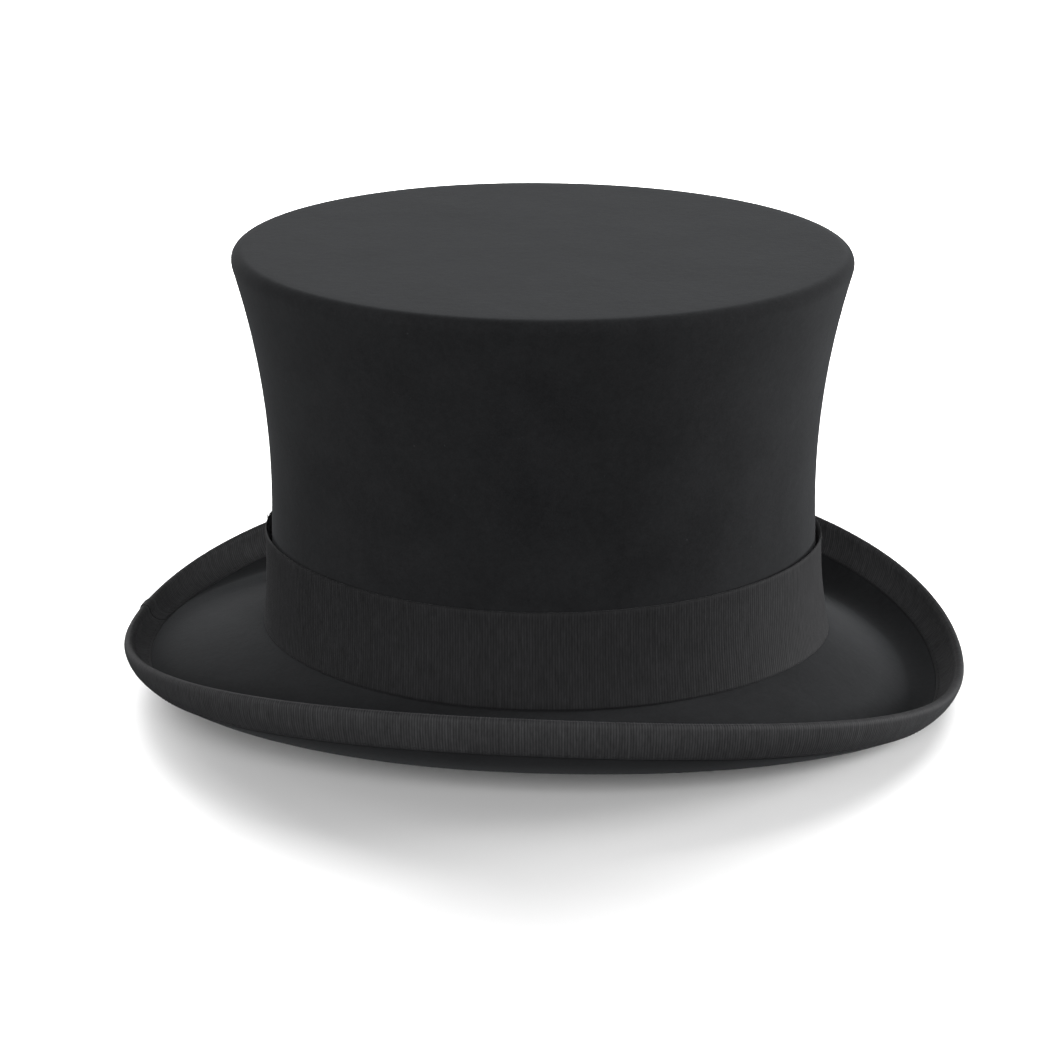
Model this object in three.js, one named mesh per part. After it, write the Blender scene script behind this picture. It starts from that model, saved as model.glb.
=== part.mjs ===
// A felt top hat with a bound, curled brim. Millimetres.
// +X is the wearer's front, +Y the wearer's left, +Z up. The origin is the middle of the hat's
// footprint, level with the lowest point of its brim. Heights in the formulas below count from
// the level of the head opening, and the finished group is moved up to the origin at the end.
import * as THREE from 'three';
import { mergeVertices } from 'three/addons/utils/BufferGeometryUtils.js';

// --- driving dimensions ---------------------------------------------------------------------

// Felt. Lengths are of its middle surface, and half lengths run along X.
const FELT_THICKNESS = 2.5;
const CROWN_HEIGHT = 145.5;
const TIP_HALF_LENGTH = 115.3;
const WAIST_HALF_LENGTH = 101.3;
const WAIST_HEIGHT = 54;
const FOOT_HALF_LENGTH = 103.7;
const FOOT_WIDTH_RATIO = 0.823;
const TIP_WIDTH_RATIO = 0.843;
const TIP_EDGE_REACH = 4.4;

// The brim, one value for each end of the oval: the sides, the front and the back.
const BRIM_WIDTH = { side: 68, front: 63.4, back: 56.7 };
const STRAIGHT_WIDTH = { side: 27.4, front: 37.7, back: 46.3 };
const ROOT_HEIGHT = { side: -1.3, front: -0.8, back: -1.3 };
const ROOT_SLOPE = { side: -13, front: -33.9, back: -14.1 };
const RIM_SLOPE = { side: 99, front: 71, back: 85 };
const SIDE_DIP = 3.2;
const SIDE_SHARE_POWER = 0.9;
const SIDE_SHARE_SOFTNESS = 0.45;
const ROOT_OFFSET = 1.9;
const BREAK_REACH = 2.4;
const BREAK_HANDLE = 0.4;

// Ribbons, leather, linings and threads.
const GAP = 0.3;
const RIBBON_THICKNESS = 0.7;
const BAND_HEIGHT = 38;
const BAND_FLARE = 0.9;
const BAND_FOOT_RISE = { side: 1.9, front: 0.8, back: 2.1 };
const BAND_SLACK = { side: 0, front: 0.95, back: 1.2 };
const BAND_KICK = { side: 0, front: 2.2, back: 0 };
const BINDING_WIDTH = 12;
const THREAD_RADIUS = 0.3;
const STITCH_INSET = 1.5;
const TACK_LENGTH = 3;
const JOIN_HALF_GAP = 0.3;
const LEATHER_THICKNESS = 1;
const SWEATBAND_FOOT = 4.6;
const SWEATBAND_TOP = 47;
const WELT_THICKNESS = 0.5;
const REED_RADIUS = 0.8;
const REED_HEIGHT = 2;
const SATIN_THICKNESS = 0.45;
const LINING_FOOT = 18;
const LINING_TOP = 139.1;
const PIPING_RADIUS = 0.9;
const TIP_PAD = { halfLength: 98, thickness: 3 };
const LINING_TIP = { halfLength: 107.5, thickness: 0.5 };
const CREST_GUARD = { halfLength: 52, thickness: 0.3 };
const BOW = { length: 66, height: 34, centreDepth: 1.8, endDepth: 4.6, waist: 9, knot: 14 };
const BOW_BASE_LENGTH = 54;
const BOW_RISE = 0.8;
const LITTLE_BOW = { length: 22, height: 6, centreDepth: 1.3, endDepth: 2.2, waist: 3, knot: 4 };
const LITTLE_BOW_HEIGHT = 41;
const LITTLE_RIBBON_THICKNESS = 0.4;
const SIZE_TAG = { length: 16, height: 9, thickness: 0.4, angle: 2.75, middle: 34 };

// Facets: every piece shares the same steps round the oval, so neighbours stay parallel.
const ROUND_STEPS = 40;
const SIDE_STEPS = 6;
const BRIM_STEPS = 6;
const RIM_STEPS = 4;
const BEND_STEPS = 3;
const TIP_STEPS = 2;
const RIBBON_STEPS = 3;
const BASE_STEPS = 6;
const LOOP_STEPS = 12;
const LOOP_SQUARENESS = 6;
const THREAD_SIDES = 4;
const CORD_SIDES = 6;
const SLEEVE_SIDES = 8;

const FELT = { color: 0x2b2c2e, roughness: 0.95 };
const RIBBON = { color: 0x303033, roughness: 0.7 };
const THREAD = { color: 0x1c1c1e, roughness: 0.8 };
const LEATHER = { color: 0x3a2418, roughness: 0.55 };
const REED = { color: 0xcfc8b4, roughness: 0.4 };
const PAPER = { color: 0xe6e2d6, roughness: 0.8 };
const SATIN = { color: 0xd9d4c8, roughness: 0.35 };
const FOAM = { color: 0xdedbd0, roughness: 0.9 };
const CLEAR_SHEET = { color: 0xdfe3e4, roughness: 0.15 };

const BACK = Math.PI;
const LEFT = Math.PI / 2;
const HALF_FELT = FELT_THICKNESS / 2;
const SMALL_STEP = 1e-3;
const { lerp, degToRad } = THREE.MathUtils;

// --- the felt's middle surface --------------------------------------------------------------

// How much of the side's shape the brim has at an angle: 0 at front and back, 1 at the sides.
function sideShare(angle) {
  const floor = SIDE_SHARE_SOFTNESS ** SIDE_SHARE_POWER;
  const soft = (share) => (share + SIDE_SHARE_SOFTNESS ** 2) ** (SIDE_SHARE_POWER / 2) - floor;
  return soft(Math.sin(angle) ** 2) / soft(1);
}

function around(value, angle) {
  const end = Math.cos(angle) > 0 ? value.front : value.back;
  return lerp(end, value.side, sideShare(angle));
}

function dip(angle) {
  return -SIDE_DIP * Math.sin(angle) ** 2;
}

function crownPoint(height, angle) {
  const above = height >= WAIST_HEIGHT;
  const end = above ? TIP_HALF_LENGTH : FOOT_HALF_LENGTH;
  const span = above ? CROWN_HEIGHT - WAIST_HEIGHT : WAIST_HEIGHT;
  const rise = (height - WAIST_HEIGHT) / span;
  const halfLength = lerp(WAIST_HALF_LENGTH, end, rise * rise);
  const halfWidth = halfLength * lerp(FOOT_WIDTH_RATIO, TIP_WIDTH_RATIO, height / CROWN_HEIGHT);
  return new THREE.Vector3(halfLength * Math.cos(angle), halfWidth * Math.sin(angle), height);
}

function tipPoint(share, angle) {
  const halfLength = share * (TIP_HALF_LENGTH - TIP_EDGE_REACH);
  const halfWidth = share * (TIP_HALF_LENGTH * TIP_WIDTH_RATIO - TIP_EDGE_REACH);
  return new THREE.Vector3(halfLength * Math.cos(angle), halfWidth * Math.sin(angle), CROWN_HEIGHT);
}

function edgePoint(share, angle) {
  const edge = new THREE.QuadraticBezierCurve3(
    tipPoint(1, angle),
    crownPoint(CROWN_HEIGHT, angle),
    crownPoint(CROWN_HEIGHT - TIP_EDGE_REACH, angle),
  );
  return edge.getPoint(share);
}

function sideHeight(share, angle) {
  return lerp(CROWN_HEIGHT - TIP_EDGE_REACH, dip(angle) + BREAK_REACH, share);
}

// The brim's root: its point, its outward direction and its slope.
function brimRoot(angle) {
  const halfLength = FOOT_HALF_LENGTH + ROOT_OFFSET;
  const halfWidth = FOOT_HALF_LENGTH * FOOT_WIDTH_RATIO + ROOT_OFFSET;
  const height = around(ROOT_HEIGHT, angle) + dip(angle);
  const point = new THREE.Vector3(halfLength * Math.cos(angle), halfWidth * Math.sin(angle), height);
  const outward = new THREE.Vector3(Math.cos(angle) / halfLength, Math.sin(angle) / halfWidth, 0);
  return { point, outward: outward.normalize(), slope: degToRad(around(ROOT_SLOPE, angle)) };
}

// The brim runs straight from its root, then curls up on an arc of one radius.
function brimPoint(distance, angle) {
  const { point, outward, slope } = brimRoot(angle);
  const straight = Math.min(distance, around(STRAIGHT_WIDTH, angle));
  const arcLength = around(BRIM_WIDTH, angle) - around(STRAIGHT_WIDTH, angle);
  const turn = degToRad(around(RIM_SLOPE, angle)) - slope;
  const radius = arcLength / turn;
  const turned = (distance - straight) / radius;
  const out = straight * Math.cos(slope) + radius * (Math.sin(slope + turned) - Math.sin(slope));
  const up = straight * Math.sin(slope) - radius * (Math.cos(slope + turned) - Math.cos(slope));
  return point.addScaledVector(outward, out).add(new THREE.Vector3(0, 0, up));
}

// The bend between the crown's side and the brim.
function breakPoint(share, angle) {
  const { point, outward, slope } = brimRoot(angle);
  const top = sideHeight(1, angle);
  const start = crownPoint(top, angle);
  const down = crownPoint(top - 0.1, angle).sub(start).normalize();
  const along = outward.multiplyScalar(Math.cos(slope)).setZ(Math.sin(slope));
  const handle = BREAK_HANDLE * start.distanceTo(point);
  const bend = new THREE.CubicBezierCurve3(
    start,
    start.clone().addScaledVector(down, handle),
    point.clone().addScaledVector(along, -handle),
    point,
  );
  return bend.getPoint(share);
}

// One number, the station, runs over the felt from the middle of the tip to the brim's edge:
// 0 to 1 tip, to 2 rounded edge, to 3 side, to 4 break, to 5 open brim, to 6 bound rim.
const EDGE_STATION = 1;
const SIDE_STATION = 2;
const BREAK_STATION = 3;
const BRIM_STATION = 4;
const RIM_STATION = 5;
const END_STATION = 6;

function middlePoint(station, angle) {
  if (station < EDGE_STATION) return tipPoint(station, angle);
  if (station < SIDE_STATION) return edgePoint(station - EDGE_STATION, angle);
  if (station < BREAK_STATION) return crownPoint(sideHeight(station - SIDE_STATION, angle), angle);
  if (station < BRIM_STATION) return breakPoint(station - BREAK_STATION, angle);
  const open = around(BRIM_WIDTH, angle) - BINDING_WIDTH;
  if (station < RIM_STATION) return brimPoint((station - BRIM_STATION) * open, angle);
  return brimPoint(open + (station - RIM_STATION) * BINDING_WIDTH, angle);
}

// The directions at a point of the felt: across (from tip to brim edge) and its outer normal.
function directions(station, angle) {
  const before = middlePoint(Math.max(station - SMALL_STEP, 0), angle);
  const after = middlePoint(Math.min(station + SMALL_STEP, END_STATION), angle);
  const across = after.sub(before).normalize();
  const round = middlePoint(station, angle + SMALL_STEP).sub(middlePoint(station, angle - SMALL_STEP));
  const straightUp = new THREE.Vector3(0, 0, 1);
  const normal = round.lengthSq() > 0 ? across.clone().cross(round).normalize() : straightUp;
  return { across, normal };
}

// A point at a distance off the felt's middle surface, outwards or (negative) inwards.
function onFelt(station, angle, offset) {
  return middlePoint(station, angle).addScaledVector(directions(station, angle).normal, offset);
}

// A point round the brim's edge: turn 0 is on the upper face, PI on the under face.
function roundEdge(turn, angle, radius) {
  const { across, normal } = directions(END_STATION, angle);
  const raised = middlePoint(END_STATION, angle).addScaledVector(normal, radius * Math.cos(turn));
  return raised.addScaledVector(across, radius * Math.sin(turn));
}

// A point off the crown's side, at any height: the side is carried straight on below the felt.
function onSide(height, angle, offset) {
  const down = crownPoint(height - SMALL_STEP, angle).sub(crownPoint(height + SMALL_STEP, angle));
  const round = crownPoint(height, angle + SMALL_STEP).sub(crownPoint(height, angle - SMALL_STEP));
  return crownPoint(height, angle).addScaledVector(down.cross(round).normalize(), offset);
}

// --- from flat blanks to pieces -------------------------------------------------------------

// Moves each vertex of a blank to the place it takes on the hat, with its faces pointing out.
function bend(blank, place) {
  blank.deleteAttribute('normal');
  blank.deleteAttribute('uv');
  const spots = blank.attributes.position;
  const spot = new THREE.Vector3();
  for (let i = 0; i < spots.count; i += 1) {
    spot.fromBufferAttribute(spots, i);
    const { x, y, z } = place(spot);
    spots.setXYZ(i, x, y, z);
  }
  const solid = mergeVertices(blank);
  if (volume(solid) < 0) solid.index.array.reverse();
  solid.computeVertexNormals();
  return solid;
}

function volume(solid) {
  const spots = solid.attributes.position;
  const corners = [0, 1, 2].map(() => new THREE.Vector3());
  let sum = 0;
  for (let i = 0; i < solid.index.count; i += 3) {
    corners.forEach((corner, k) => corner.fromBufferAttribute(spots, solid.index.getX(i + k)));
    sum += corners[0].dot(corners[1].cross(corners[2])) / 6;
  }
  return sum;
}

// A closed ring or cap: the outline [across, layer] goes all the way round the hat.
function roundPiece(outline, place) {
  const profile = outline.map(([across, layer]) => new THREE.Vector2(across, layer));
  const blank = new THREE.LatheGeometry(profile, ROUND_STEPS);
  return bend(blank, ({ x, y, z }) => place(Math.hypot(x, z), Math.atan2(x, z), y));
}

// A cord or thread all the way round the hat. Its section is turned clear of the blank's axis.
function roundCord(radius, sides, place) {
  const clear = 2 * radius;
  const section = circle(radius, sides).map(([across, layer]) => [across + clear, layer]);
  return roundPiece(section, (across, angle, layer) => place(across - clear, angle, layer));
}

// A flat strip between two angles: across runs from 0 to 1 over its width, layer from 0 to 1.
function strip(from, to, roundSteps, acrossSteps, place) {
  const blank = new THREE.BoxGeometry(to - from, 1, 1, roundSteps, acrossSteps, 1);
  return bend(blank, ({ x, y, z }) => place(y + 0.5, (from + to) / 2 + x, z + 0.5));
}

// The small angle that a length takes up along the crown's side.
function sideAngle(length, angle) {
  const start = crownPoint(SWEATBAND_TOP, angle);
  return (length * SMALL_STEP) / start.distanceTo(crownPoint(SWEATBAND_TOP, angle + SMALL_STEP));
}

function steps(count, from, to) {
  return Array.from({ length: count }, (_, i) => lerp(from, to, i / count));
}

function circle(radius, sides) {
  const turns = steps(sides, 0, 2 * Math.PI);
  const outline = turns.map((turn) => [radius * Math.cos(turn), radius * Math.sin(turn)]);
  return [...outline, outline[0]];
}

const hat = new THREE.Group();

function addPiece(name, geometry, look) {
  const piece = new THREE.Mesh(geometry, new THREE.MeshStandardMaterial(look));
  piece.name = name;
  hat.add(piece);
}

// --- felt and binding -----------------------------------------------------------------------

function feltBody() {
  const stations = [
    ...steps(TIP_STEPS, 0, EDGE_STATION),
    ...steps(BEND_STEPS, EDGE_STATION, SIDE_STATION),
    ...steps(SIDE_STEPS, SIDE_STATION, BREAK_STATION),
    ...steps(BEND_STEPS, BREAK_STATION, BRIM_STATION),
    ...steps(BRIM_STEPS, BRIM_STATION, RIM_STATION),
    ...steps(RIM_STEPS, RIM_STATION, END_STATION),
  ];
  const outer = stations.map((station) => [station, HALF_FELT]);
  const edge = steps(RIM_STEPS, END_STATION, END_STATION + 1).map((station) => [station, HALF_FELT]);
  const inner = [...stations, END_STATION].reverse().map((station) => [station, -HALF_FELT]);
  return roundPiece([...outer, ...edge, ...inner], (station, angle, offset) => {
    if (station <= END_STATION) return onFelt(station, angle, offset);
    return roundEdge((station - END_STATION) * Math.PI, angle, offset);
  });
}

// The binding's width folds over the edge: its faces take a third each, the fold the rest.
function bindingPoint(across, angle, layer) {
  const offset = HALF_FELT + GAP + layer * RIBBON_THICKNESS;
  const fold = across * 3;
  if (fold < 1) return onFelt(RIM_STATION + fold, angle, offset);
  if (fold < 2) return roundEdge((fold - 1) * Math.PI, angle, offset);
  return onFelt(END_STATION + 2 - fold, angle, -offset);
}

function brimBinding() {
  const gap = JOIN_HALF_GAP / (FOOT_HALF_LENGTH + BRIM_WIDTH.back);
  return strip(gap - BACK, BACK - gap, ROUND_STEPS, 3 * RIM_STEPS, bindingPoint);
}

function bindingStitches(side) {
  const offset = HALF_FELT + RIBBON_THICKNESS + 2 * GAP + THREAD_RADIUS;
  return roundCord(THREAD_RADIUS, THREAD_SIDES, (across, angle, layer) => {
    const station = RIM_STATION + (STITCH_INSET + 2 * THREAD_RADIUS + across) / BINDING_WIDTH;
    return onFelt(station, angle, side * (offset + layer));
  });
}

addPiece('felt_body', feltBody(), FELT);
addPiece('brim_binding', brimBinding(), RIBBON);
addPiece('binding_stitches_upper', bindingStitches(1), THREAD);
addPiece('binding_stitches_under', bindingStitches(-1), THREAD);

// --- hat band and its tacks -----------------------------------------------------------------

const BAND_INSIDE = HALF_FELT + GAP;
const BAND_OUTSIDE = BAND_INSIDE + RIBBON_THICKNESS;

// The band is drawn tight at the sides, stands off the felt at both ends of the oval, and its
// foot kicks out over the brim in front.
function hatBand() {
  const gap = sideAngle(JOIN_HALF_GAP, LEFT);
  const end = LEFT + 2 * Math.PI - gap;
  return strip(LEFT + gap, end, ROUND_STEPS, RIBBON_STEPS, (across, angle, layer) => {
    const foot = around(BAND_FOOT_RISE, angle);
    const height = dip(angle) + lerp(foot, BAND_HEIGHT, across);
    const kick = around(BAND_KICK, angle) * (1 - across) ** 2;
    const stand = around(BAND_SLACK, angle) + BAND_FLARE * across ** 3 + kick;
    return onSide(height, angle, stand + lerp(BAND_INSIDE, BAND_OUTSIDE, layer));
  });
}

// A tack is a short thread that steps over the hat band's upper edge.
function bandTack(angle) {
  const blank = new THREE.CapsuleGeometry(THREAD_RADIUS, TACK_LENGTH, 2, CORD_SIDES);
  const middle = BAND_OUTSIDE + around(BAND_SLACK, angle) + BAND_FLARE + GAP + THREAD_RADIUS;
  return bend(blank, ({ x, y, z }) => (
    onSide(BAND_HEIGHT + y, angle + sideAngle(x, angle), middle + z)
  ));
}

addPiece('hat_band', hatBand(), RIBBON);
addPiece('band_tack_front', bandTack(0), THREAD);
addPiece('band_tack_back', bandTack(BACK), THREAD);

// --- flat bow over the hat band's join, on the wearer's left --------------------------------

// The outline of folded ribbon seen from its edge: nipped in the middle, full at both ends.
// inset moves it inwards by the ribbon's thickness.
function loopOutline(bow, inset) {
  const half = bow.length / 2 - inset;
  const upper = steps(LOOP_STEPS, 1, -1).slice(1).map((share) => {
    const free = Math.max(0, Math.abs(share * half) - bow.knot / 2);
    const fullness = 1 - Math.exp(-((free / bow.waist) ** 2));
    const round = Math.sqrt(1 - share ** LOOP_SQUARENESS);
    const depth = lerp(bow.centreDepth, bow.endDepth, fullness) / 2 - inset;
    return new THREE.Vector2(share * half, depth * round);
  });
  const lower = upper.map(({ x, y }) => new THREE.Vector2(-x, -y));
  return [new THREE.Vector2(half, 0), ...upper, new THREE.Vector2(-half, 0), ...lower];
}

function loopBlank(bow, thickness) {
  const outline = new THREE.Shape(loopOutline(bow, 0));
  outline.holes.push(new THREE.Path(loopOutline(bow, thickness)));
  const push = { depth: bow.height, steps: RIBBON_STEPS, bevelEnabled: false };
  return new THREE.ExtrudeGeometry(outline, push).translate(0, 0, -bow.height / 2);
}

// A ribbon ring round the middle of the loops: a rectangular ring pushed along the bow's length.
function knotBlank(bow, thickness) {
  const high = bow.height / 2 + GAP;
  const deep = bow.centreDepth / 2 + GAP;
  const frame = (grow) => [
    new THREE.Vector2(-high - grow, -deep - grow),
    new THREE.Vector2(0, -deep - grow),
    new THREE.Vector2(high + grow, -deep - grow),
    new THREE.Vector2(high + grow, deep + grow),
    new THREE.Vector2(0, deep + grow),
    new THREE.Vector2(-high - grow, deep + grow),
  ];
  const outline = new THREE.Shape(frame(thickness));
  outline.holes.push(new THREE.Path(frame(0)));
  const push = { depth: bow.knot, steps: 2, bevelEnabled: false };
  return new THREE.ExtrudeGeometry(outline, push).translate(0, 0, -bow.knot / 2);
}

const BOW_MIDDLE = BAND_HEIGHT / 2 + BOW_RISE;
const BOW_BASE_INSIDE = BAND_OUTSIDE + BAND_FLARE + GAP;
const BOW_OFFSET = BOW_BASE_INSIDE + 2 * RIBBON_THICKNESS + 2 * GAP + BOW.endDepth / 2;

function besideLeft(along, height, offset) {
  const angle = LEFT + sideAngle(along, LEFT);
  return onSide(dip(angle) + BOW_MIDDLE + height, angle, offset);
}

function bowBase() {
  const half = sideAngle(BOW_BASE_LENGTH / 2, LEFT);
  return strip(LEFT - half, LEFT + half, BASE_STEPS, RIBBON_STEPS, (across, angle, layer) => {
    const height = dip(angle) + BOW_MIDDLE + (across - 0.5) * BOW.height;
    return onSide(height, angle, BOW_BASE_INSIDE + layer * RIBBON_THICKNESS);
  });
}

function bowLoops() {
  const blank = loopBlank(BOW, RIBBON_THICKNESS);
  return bend(blank, ({ x, y, z }) => besideLeft(x, z, BOW_OFFSET + y));
}

function bowKnot() {
  const blank = knotBlank(BOW, RIBBON_THICKNESS);
  return bend(blank, ({ x, y, z }) => besideLeft(z, x, BOW_OFFSET + y));
}

addPiece('bow_base', bowBase(), RIBBON);
addPiece('bow_loops', bowLoops(), RIBBON);
addPiece('bow_knot', bowKnot(), RIBBON);

// --- sweatband, its welt, reed and thread ---------------------------------------------------

const LINING_OUTSIDE = -(HALF_FELT + GAP);
const LEATHER_OUTSIDE = LINING_OUTSIDE - SATIN_THICKNESS - 2 * GAP;
const LEATHER_INSIDE = LEATHER_OUTSIDE - LEATHER_THICKNESS;
const REED_CENTRE = LEATHER_OUTSIDE - LEATHER_THICKNESS / 2;
const SWEATBAND_JOIN = sideAngle(JOIN_HALF_GAP, BACK);

function sweatband() {
  const end = BACK - SWEATBAND_JOIN;
  return strip(-end, end, ROUND_STEPS, RIBBON_STEPS, (across, angle, layer) => {
    const height = lerp(SWEATBAND_FOOT, SWEATBAND_TOP, across);
    return onSide(height + dip(angle), angle, lerp(LEATHER_INSIDE, LEATHER_OUTSIDE, layer));
  });
}

// A section pushed all the way round the sweatband's foot, except for a gap at the back.
function aroundFoot(section, halfGap) {
  const length = 2 * (BACK - halfGap);
  const push = { depth: length, steps: ROUND_STEPS, bevelEnabled: false };
  const blank = new THREE.ExtrudeGeometry(section, push);
  return bend(blank, ({ x, y, z }) => {
    const angle = z - length / 2;
    return onSide(REED_HEIGHT + dip(angle) + y, angle, REED_CENTRE + x);
  });
}

function circleSpots(radius, sides) {
  return circle(radius, sides).slice(1).map(([x, y]) => new THREE.Vector2(x, y));
}

// The welt is a sleeve of cloth round the reed, open at both ends.
function sweatbandWelt() {
  const inside = REED_RADIUS + GAP;
  const sleeve = new THREE.Shape(circleSpots(inside + WELT_THICKNESS, SLEEVE_SIDES));
  sleeve.holes.push(new THREE.Path(circleSpots(inside, CORD_SIDES)));
  return aroundFoot(sleeve, SWEATBAND_JOIN);
}

function sweatbandReed() {
  return aroundFoot(new THREE.Shape(circleSpots(REED_RADIUS, CORD_SIDES)), 2 * SWEATBAND_JOIN);
}

function sweatbandStitches() {
  const offset = LEATHER_INSIDE - GAP - THREAD_RADIUS;
  const rise = SWEATBAND_FOOT + STITCH_INSET;
  return roundCord(THREAD_RADIUS, THREAD_SIDES, (across, angle, layer) => (
    onSide(rise + across + dip(angle), angle, offset + layer)
  ));
}

addPiece('sweatband', sweatband(), LEATHER);
addPiece('sweatband_welt', sweatbandWelt(), THREAD);
addPiece('sweatband_reed', sweatbandReed(), REED);
addPiece('sweatband_stitches', sweatbandStitches(), THREAD);

// --- little bow and size tag on the sweatband -----------------------------------------------

const LITTLE_BOW_BACK = LEATHER_INSIDE - 2 * GAP - LITTLE_RIBBON_THICKNESS;
const LITTLE_BOW_OFFSET = LITTLE_BOW_BACK - LITTLE_BOW.endDepth / 2;

function insideBack(along, height, offset) {
  return onSide(LITTLE_BOW_HEIGHT + height, BACK + sideAngle(along, BACK), offset);
}

function sweatbandBow() {
  const blank = loopBlank(LITTLE_BOW, LITTLE_RIBBON_THICKNESS);
  return bend(blank, ({ x, y, z }) => insideBack(x, z, LITTLE_BOW_OFFSET + y));
}

function sweatbandBowKnot() {
  const blank = knotBlank(LITTLE_BOW, LITTLE_RIBBON_THICKNESS);
  return bend(blank, ({ x, y, z }) => insideBack(z, x, LITTLE_BOW_OFFSET + y));
}

function sizeTag() {
  const half = sideAngle(SIZE_TAG.length / 2, SIZE_TAG.angle);
  return strip(SIZE_TAG.angle - half, SIZE_TAG.angle + half, 2, 1, (across, angle, layer) => {
    const height = SIZE_TAG.middle + (across - 0.5) * SIZE_TAG.height;
    return onSide(height, angle, LEATHER_INSIDE - GAP - layer * SIZE_TAG.thickness);
  });
}

addPiece('sweatband_bow', sweatbandBow(), RIBBON);
addPiece('sweatband_bow_knot', sweatbandBowKnot(), RIBBON);
addPiece('size_tag', sizeTag(), PAPER);

// --- lining, tip pad and crest guard --------------------------------------------------------

// The lining's wall, drawn from 1 to 2 across its width so that the blank stays off its axis.
function liningSide() {
  const foot = 1;
  const top = 2;
  const inside = LINING_OUTSIDE - SATIN_THICKNESS;
  const wall = steps(SIDE_STEPS, foot, top);
  const outline = [
    ...wall.map((across) => [across, LINING_OUTSIDE]),
    [top, LINING_OUTSIDE],
    [top, inside],
    ...wall.reverse().map((across) => [across, inside]),
    [foot, LINING_OUTSIDE],
  ];
  return roundPiece(outline, (across, angle, offset) => (
    onSide(lerp(LINING_FOOT, LINING_TOP, across - foot), angle, offset)
  ));
}

function liningPiping() {
  const offset = LINING_OUTSIDE - SATIN_THICKNESS - GAP - PIPING_RADIUS;
  return roundCord(PIPING_RADIUS, CORD_SIDES, (across, angle, layer) => (
    onSide(LINING_TOP - PIPING_RADIUS + across, angle, offset + layer)
  ));
}

// A flat oval sheet across the inside of the tip, with its upper face at a height.
function tipSheet({ halfLength, thickness }, upper) {
  const wall = TIP_HALF_LENGTH * TIP_WIDTH_RATIO;
  const halfWidth = wall - (TIP_HALF_LENGTH - halfLength);
  const outline = [[0, upper], [1, upper], [1, upper - thickness], [0, upper - thickness]];
  return roundPiece(outline, (share, angle, height) => (
    new THREE.Vector3(share * halfLength * Math.cos(angle), share * halfWidth * Math.sin(angle), height)
  ));
}

const PAD_TOP = CROWN_HEIGHT - HALF_FELT - GAP;
const LINING_TIP_TOP = PAD_TOP - TIP_PAD.thickness - GAP;
const GUARD_TOP = LINING_TIP_TOP - LINING_TIP.thickness - GAP;

addPiece('lining_side', liningSide(), SATIN);
addPiece('lining_piping', liningPiping(), SATIN);
addPiece('lining_tip', tipSheet(LINING_TIP, LINING_TIP_TOP), SATIN);
addPiece('tip_pad', tipSheet(TIP_PAD, PAD_TOP), FOAM);
addPiece('crest_guard', tipSheet(CREST_GUARD, GUARD_TOP), CLEAR_SHEET);

const box = new THREE.Box3().setFromObject(hat);
const middle = box.getCenter(new THREE.Vector3());
hat.position.set(-middle.x, -middle.y, -box.min.z);

export default hat;
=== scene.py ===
import math

import bpy
import numpy as np
from mathutils import Matrix, Vector


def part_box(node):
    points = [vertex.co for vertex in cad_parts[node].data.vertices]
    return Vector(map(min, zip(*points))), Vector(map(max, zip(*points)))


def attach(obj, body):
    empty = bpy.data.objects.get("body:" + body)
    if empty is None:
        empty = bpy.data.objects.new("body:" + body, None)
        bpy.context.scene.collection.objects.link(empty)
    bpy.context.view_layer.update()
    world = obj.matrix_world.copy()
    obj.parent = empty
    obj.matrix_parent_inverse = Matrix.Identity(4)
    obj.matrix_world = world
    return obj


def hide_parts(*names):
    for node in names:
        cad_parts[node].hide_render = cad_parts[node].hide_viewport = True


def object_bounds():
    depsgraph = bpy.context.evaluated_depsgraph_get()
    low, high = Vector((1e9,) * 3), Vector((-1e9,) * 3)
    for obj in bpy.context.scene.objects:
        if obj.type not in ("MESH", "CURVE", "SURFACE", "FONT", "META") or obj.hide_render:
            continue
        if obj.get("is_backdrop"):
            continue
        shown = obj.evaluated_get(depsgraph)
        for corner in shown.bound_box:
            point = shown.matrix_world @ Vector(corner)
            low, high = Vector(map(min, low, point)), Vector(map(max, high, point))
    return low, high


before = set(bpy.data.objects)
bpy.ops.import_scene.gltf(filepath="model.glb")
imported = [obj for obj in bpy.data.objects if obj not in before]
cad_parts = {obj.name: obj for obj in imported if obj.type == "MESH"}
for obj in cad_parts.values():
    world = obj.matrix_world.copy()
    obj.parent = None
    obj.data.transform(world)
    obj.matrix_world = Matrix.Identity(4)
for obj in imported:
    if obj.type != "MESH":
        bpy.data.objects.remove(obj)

# A felt top hat. Shapes are worked out in millimetres in the hat's own frame: +X is the wearer's
# front, +Y the wearer's left, +Z up, with height 0 at the head opening. row_frame() turns them
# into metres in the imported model's frame.

CAD_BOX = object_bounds()
MM = 0.001

# --- driving dimensions: millimetres, with slopes in degrees and other angles in radians ---

FELT_THICKNESS = 2.5
HALF_FELT = FELT_THICKNESS / 2
CROWN_HEIGHT = 145.5
TIP_HALF_LENGTH = 115.3
WAIST_HALF_LENGTH = 101.3
WAIST_HEIGHT = 54.0
FOOT_HALF_LENGTH = 103.7
FOOT_WIDTH_RATIO = 0.823
TIP_WIDTH_RATIO = 0.843
TIP_EDGE_REACH = 4.4

# The brim: one value each for the sides, the front and the back of the oval.
BRIM_WIDTH = (68.0, 63.4, 56.7)
STRAIGHT_WIDTH = (27.4, 37.7, 46.3)
ROOT_HEIGHT = (-1.3, -0.8, -1.3)
ROOT_SLOPE = (-13.0, -33.9, -14.1)
RIM_SLOPE = (99.0, 71.0, 85.0)
SIDE_DIP = 3.2
SIDE_SHARE_POWER = 0.9
SIDE_SHARE_SOFTNESS = 0.45
ROOT_OFFSET = 1.9
BREAK_REACH = 2.4
BREAK_HANDLE = 0.4
BREAK_LENGTH = 4.2

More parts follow.
